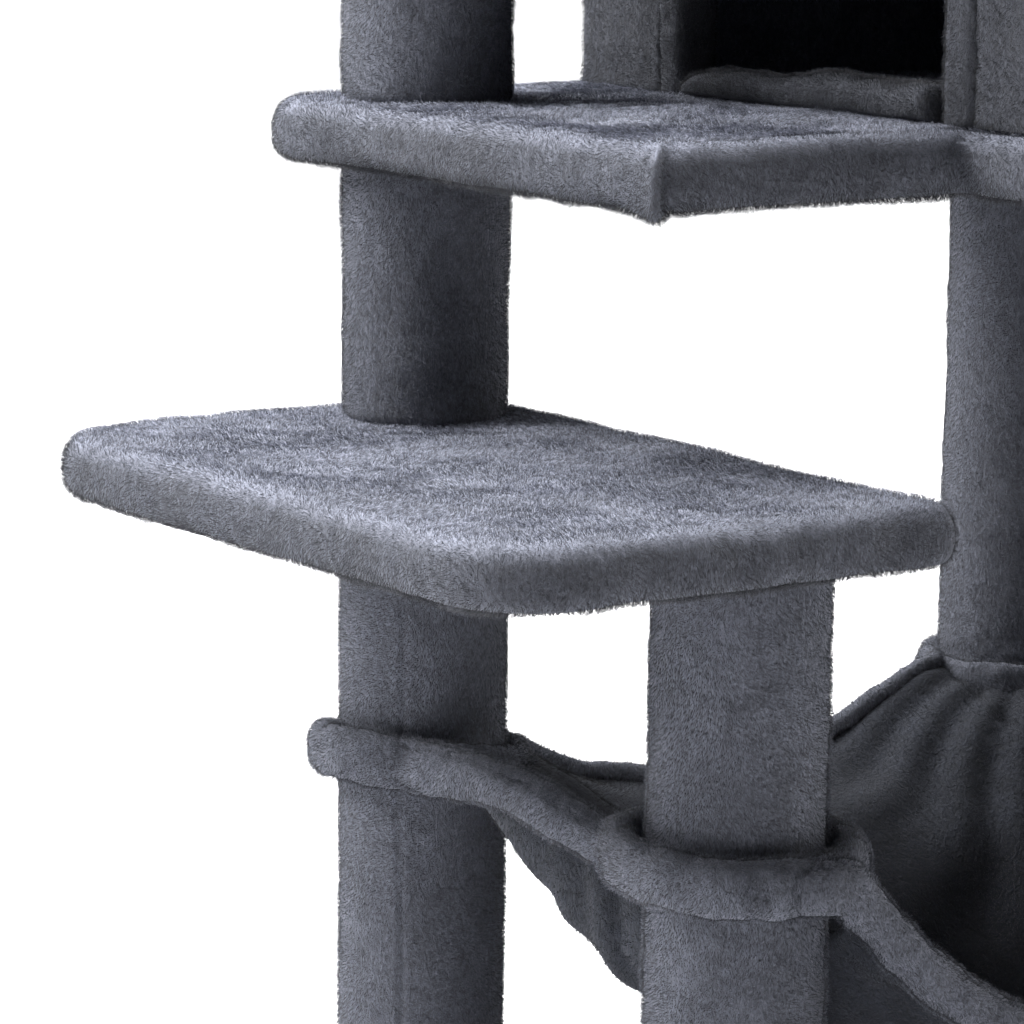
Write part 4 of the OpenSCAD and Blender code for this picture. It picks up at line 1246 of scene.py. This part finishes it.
# the sling itself
def sling():
    nu, nv = 150, 116
    U = np.linspace(0, 1, nu)
    W = np.linspace(0, 1, nv)
    uu, vv = np.meshgrid(U, W, indexing="ij")
    y = 130 - 285.6 * vv
    x0 = np.interp(y, [-155.6, -108, -60, -36, -8, 20, 36, 60, 84, 130], [-176, -178, -184, -190, -195, -200, -201, -198, -190, -182])
    x = x0 + (193 - x0) * uu
    yr = y
    front = rim_z(FRONT, x) - 2
    rear = np.interp(x, [-180] + [p[0] for p in HEMZ] + [193], [278] + [p[1] - 1 for p in HEMZ] + [300])
    left = np.interp(yr, [-155.6, -108, -60, -36, -22, -8, 5, 20, 36, 60, 84, 130], [274, 271, 266, 265, 267, 270.5, 274, 277.5, 280, 281, 281, 278])
    right = np.interp(yr, [-155.6, -108, -60, -28, 20, 66, 96, 130], [275, 274, 272, 273, 277, 281, 290, 300])
    z00, z10, z01, z11 = 278.0, 300.0, 274.0, 275.0
    coons = left * (1 - uu) + right * uu + rear * (1 - vv) + front * vv - (z00 * (1 - uu) * (1 - vv) + z10 * uu * (1 - vv) + z01 * (1 - uu) * vv + z11 * uu * vv)
    vs = vv ** 1.4
    bag = 81.0 * bump(uu) ** 0.17 * bump(vs) ** 3.0 + 10.0 * np.exp(-((uu - 0.22) / 0.2) ** 2) * bump(vs) ** 1.2 * bump(uu) ** 0.3
    z = coons - bag
    V = np.column_stack([x.ravel(), y.ravel(), z.ravel()])
    # pleats that radiate from the corners and hang under the side rims
    pl = np.zeros(len(V))
    cw = waves(481, 34)
    cwl = waves(483, 120)
    for (px, py), a0, k, amp, reach in (((193, 130), 180, 22, 2.2, 230), ((-180, 130), -45, 16, 1.5, 130), ((-176, -108), 45, 16, 1.3, 130), ((193, -108), 135, 16, 1.3, 130)):
        e = V[:, :2] - [px, py]
        r = np.hypot(e[:, 0], e[:, 1])
        th = np.arctan2(e[:, 1], e[:, 0])
        pl += amp * np.sin(k * th + 0.5 * cwl(V)) * step01(r, 36, 70) * (1 - step01(r, 90, reach))
    # upright folds under the left and right rims
    vy = V[:, 1]
    side = np.exp(-np.clip(V[:, 0] + 196, 0, None) / 60.0)
    fold = np.sin((vy + 1.8 * cw(V)) * 2 * math.pi / 25.0)
    pl += 2.6 * side * fold * step01(V[:, 0], -198, -184) * step01(V[:, 2], 175, 235) * (1 - step01(np.abs(vy - 5), 70, 100))
    side2 = np.exp(-np.clip(193 - V[:, 0], 0, None) / 34.0)
    pl += 3.6 * side2 * np.sin((vy + 1.5 * cw(V)) * 2 * math.pi / 31.0) * (1 - step01(V[:, 0], 178, 193)) * (1 - step01(np.abs(vy - 5), 60, 95))
    # gathers behind the front rim
    fr = np.exp(-np.clip(V[:, 1] + 155.6, 0, None) / 30.0) * step01(V[:, 1], -155.6, -142)
    pl += 2.6 * fr * np.sin((V[:, 0] + 2.5 * cw(V)) * 2 * math.pi / 36.0)
    soft = waves(482, 90)
    V[:, 2] += 1.2 * soft(V) * (bump(uu) * bump(vv)).ravel() ** 0.3
    F = grid_faces(nu, nv)
    n = normals(V, F)
    if n[:, 2].sum() < 0:
        F = [tuple(reversed(f)) for f in F]
        n = -n
    V = V + n * pl[:, None]
    # cut round the posts
    cut = np.zeros(len(V), bool)
    for nm, (px, py) in POST.items():
        rr = np.hypot(V[:, 0] - px, V[:, 1] - py)
        cut |= rr < 40.0
        # the sling's edge runs evenly round the post
        near = (rr >= 40.0) & (rr < 45.0)
        V[near, 0] = px + (V[near, 0] - px) * 45.0 / rr[near]
        V[near, 1] = py + (V[near, 1] - py) * 45.0 / rr[near]
    for px in (POST["step"][0], POST["side"][0]):
        cut |= (np.abs(V[:, 0] - px) < 41) & (V[:, 1] < -120)
    keepF = [f for f in F if not all(cut[i] for i in f)]
    near = sorted({i for f in keepF for i in f if cut[i]})
    for i in near:
        for nm, (px, py) in POST.items():
            e = V[i, :2] - [px, py]
            r = math.hypot(*e)
            if r < 45.0:
                V[i, :2] = np.array([px, py]) + e / max(r, 1e-6) * 45.0
        for px in (POST["step"][0], POST["side"][0]):
            py = -108.0
            if V[i, 1] < -120 and abs(V[i, 0] - px) < 41:
                V[i, 0] = px + math.copysign(41, V[i, 0] - px)
    used = sorted({i for f in keepF for i in f})
    back = {u: k for k, u in enumerate(used)}
    V = V[used]
    F = [tuple(back[i] for i in f) for f in keepF]
    n = normals(V, F)
    V2, F2, _ = thicken(V, F, 4.0, n)
    pile = np.ones(len(V2)) * 0.8
    ob = mesh_object("hammock_sling_plush", V2, F2, SKIN["sling"], "hammock", "hammock_sling", pile,
                     dict(fibre="sling", density=0.7, length=2.4, lean=1.4, down=(0.1, -0.1, -0.3)))
    return ob


sl = sling()

# ---------------------------------------------------------------- carried-over CAD nodes
for nm, ob in N.items():
    if nm.endswith("_board") or nm.endswith("_panel"):
        mt = M_BOARD
    elif nm.endswith("_tube"):
        mt = M_PAPER
    elif nm.endswith("_plugs"):
        mt = M_PLUG
    elif nm.endswith("_liner"):
        mt = M_LINER
    elif nm in ("base_bolts", "platform_bolts", "bolt_washers", "joining_studs", "condo_screws"):
        mt = M_STEEL
    else:
        continue
    for s_ in ob.material_slots:
        s_.material = mt


# ---------------------------------------------------------------- stage and light
def stage():
    m, nt, bs = nodes_of("floor")
    bs.inputs["Base Color"].default_value = (0.90, 0.90, 0.91, 1)
    bs.inputs["Roughness"].default_value = 0.9
    bs.inputs["Emission Color"].default_value = (1, 1, 1, 1)
    bs.inputs["Emission Strength"].default_value = 0.36
    # floor that sweeps up far behind
    prof = [(-12.0, 0.0), (6.0, 0.0)]
    for k in range(1, 13):
        t = math.pi / 2 * k / 12
        prof.append((6.0 + 2.0 * math.sin(t), 2.0 - 2.0 * math.cos(t)))
    prof.append((8.0, 9.0))
    a = math.radians(-35)
    V, F = [], []
    for d, z in prof:
        for w in (-14, 14):
            x = -math.sin(a) * d + math.cos(a) * w
            y = math.cos(a) * d + math.sin(a) * w
            V.append((x / MM, y / MM, z / MM))
    for i in range(len(prof) - 1):
        F.append((2 * i, 2 * i + 1, 2 * i + 3, 2 * i + 2))
    ob = mesh_object("floor", np.array(V), F, m)


stage()


def area(name, loc, target, size, power, color=(1, 1, 1)):
    l = bpy.data.lights.new(name, "AREA")
    l.shape = "RECTANGLE"
    l.size, l.size_y = size
    l.energy = power
    l.color = color
    ob = bpy.data.objects.new(name, l)
    bpy.context.scene.collection.objects.link(ob)
    ob.location = loc
    ob.rotation_euler = (Vector(target) - Vector(loc)).to_track_quat("-Z", "Y").to_euler()
    return ob


area("key", (-2.35, 1.95, 2.75), (0, 0, 0.45), (1.9, 1.9), 520)
area("top", (-0.7, 0.5, 3.4), (0, 0, 0.4), (2.4, 2.4), 400)
area("left", (-3.0, -0.2, 0.95), (0, 0, 0.6), (1.2, 1.2), 24)
area("right", (2.8, -0.9, 1.2), (0, 0, 0.4), (1.0, 1.8), 105)

w = bpy.data.worlds.new("studio")
w.use_nodes = True
wn = w.node_tree
bg = wn.nodes["Background"]
bg.inputs[0].default_value = (1.0, 1.0, 1.0, 1)
lp = wn.nodes.new("ShaderNodeLightPath")
amb = wn.nodes.new("ShaderNodeMix")
amb.data_type = "FLOAT"
amb.inputs[2].default_value = 0.09
amb.inputs[3].default_value = 1.0
wn.links.new(lp.outputs["Is Camera Ray"], amb.inputs[0])
wn.links.new(amb.outputs[0], bg.inputs[1])
bpy.context.scene.world = w
bpy.context.scene.view_settings.view_transform = "Standard"
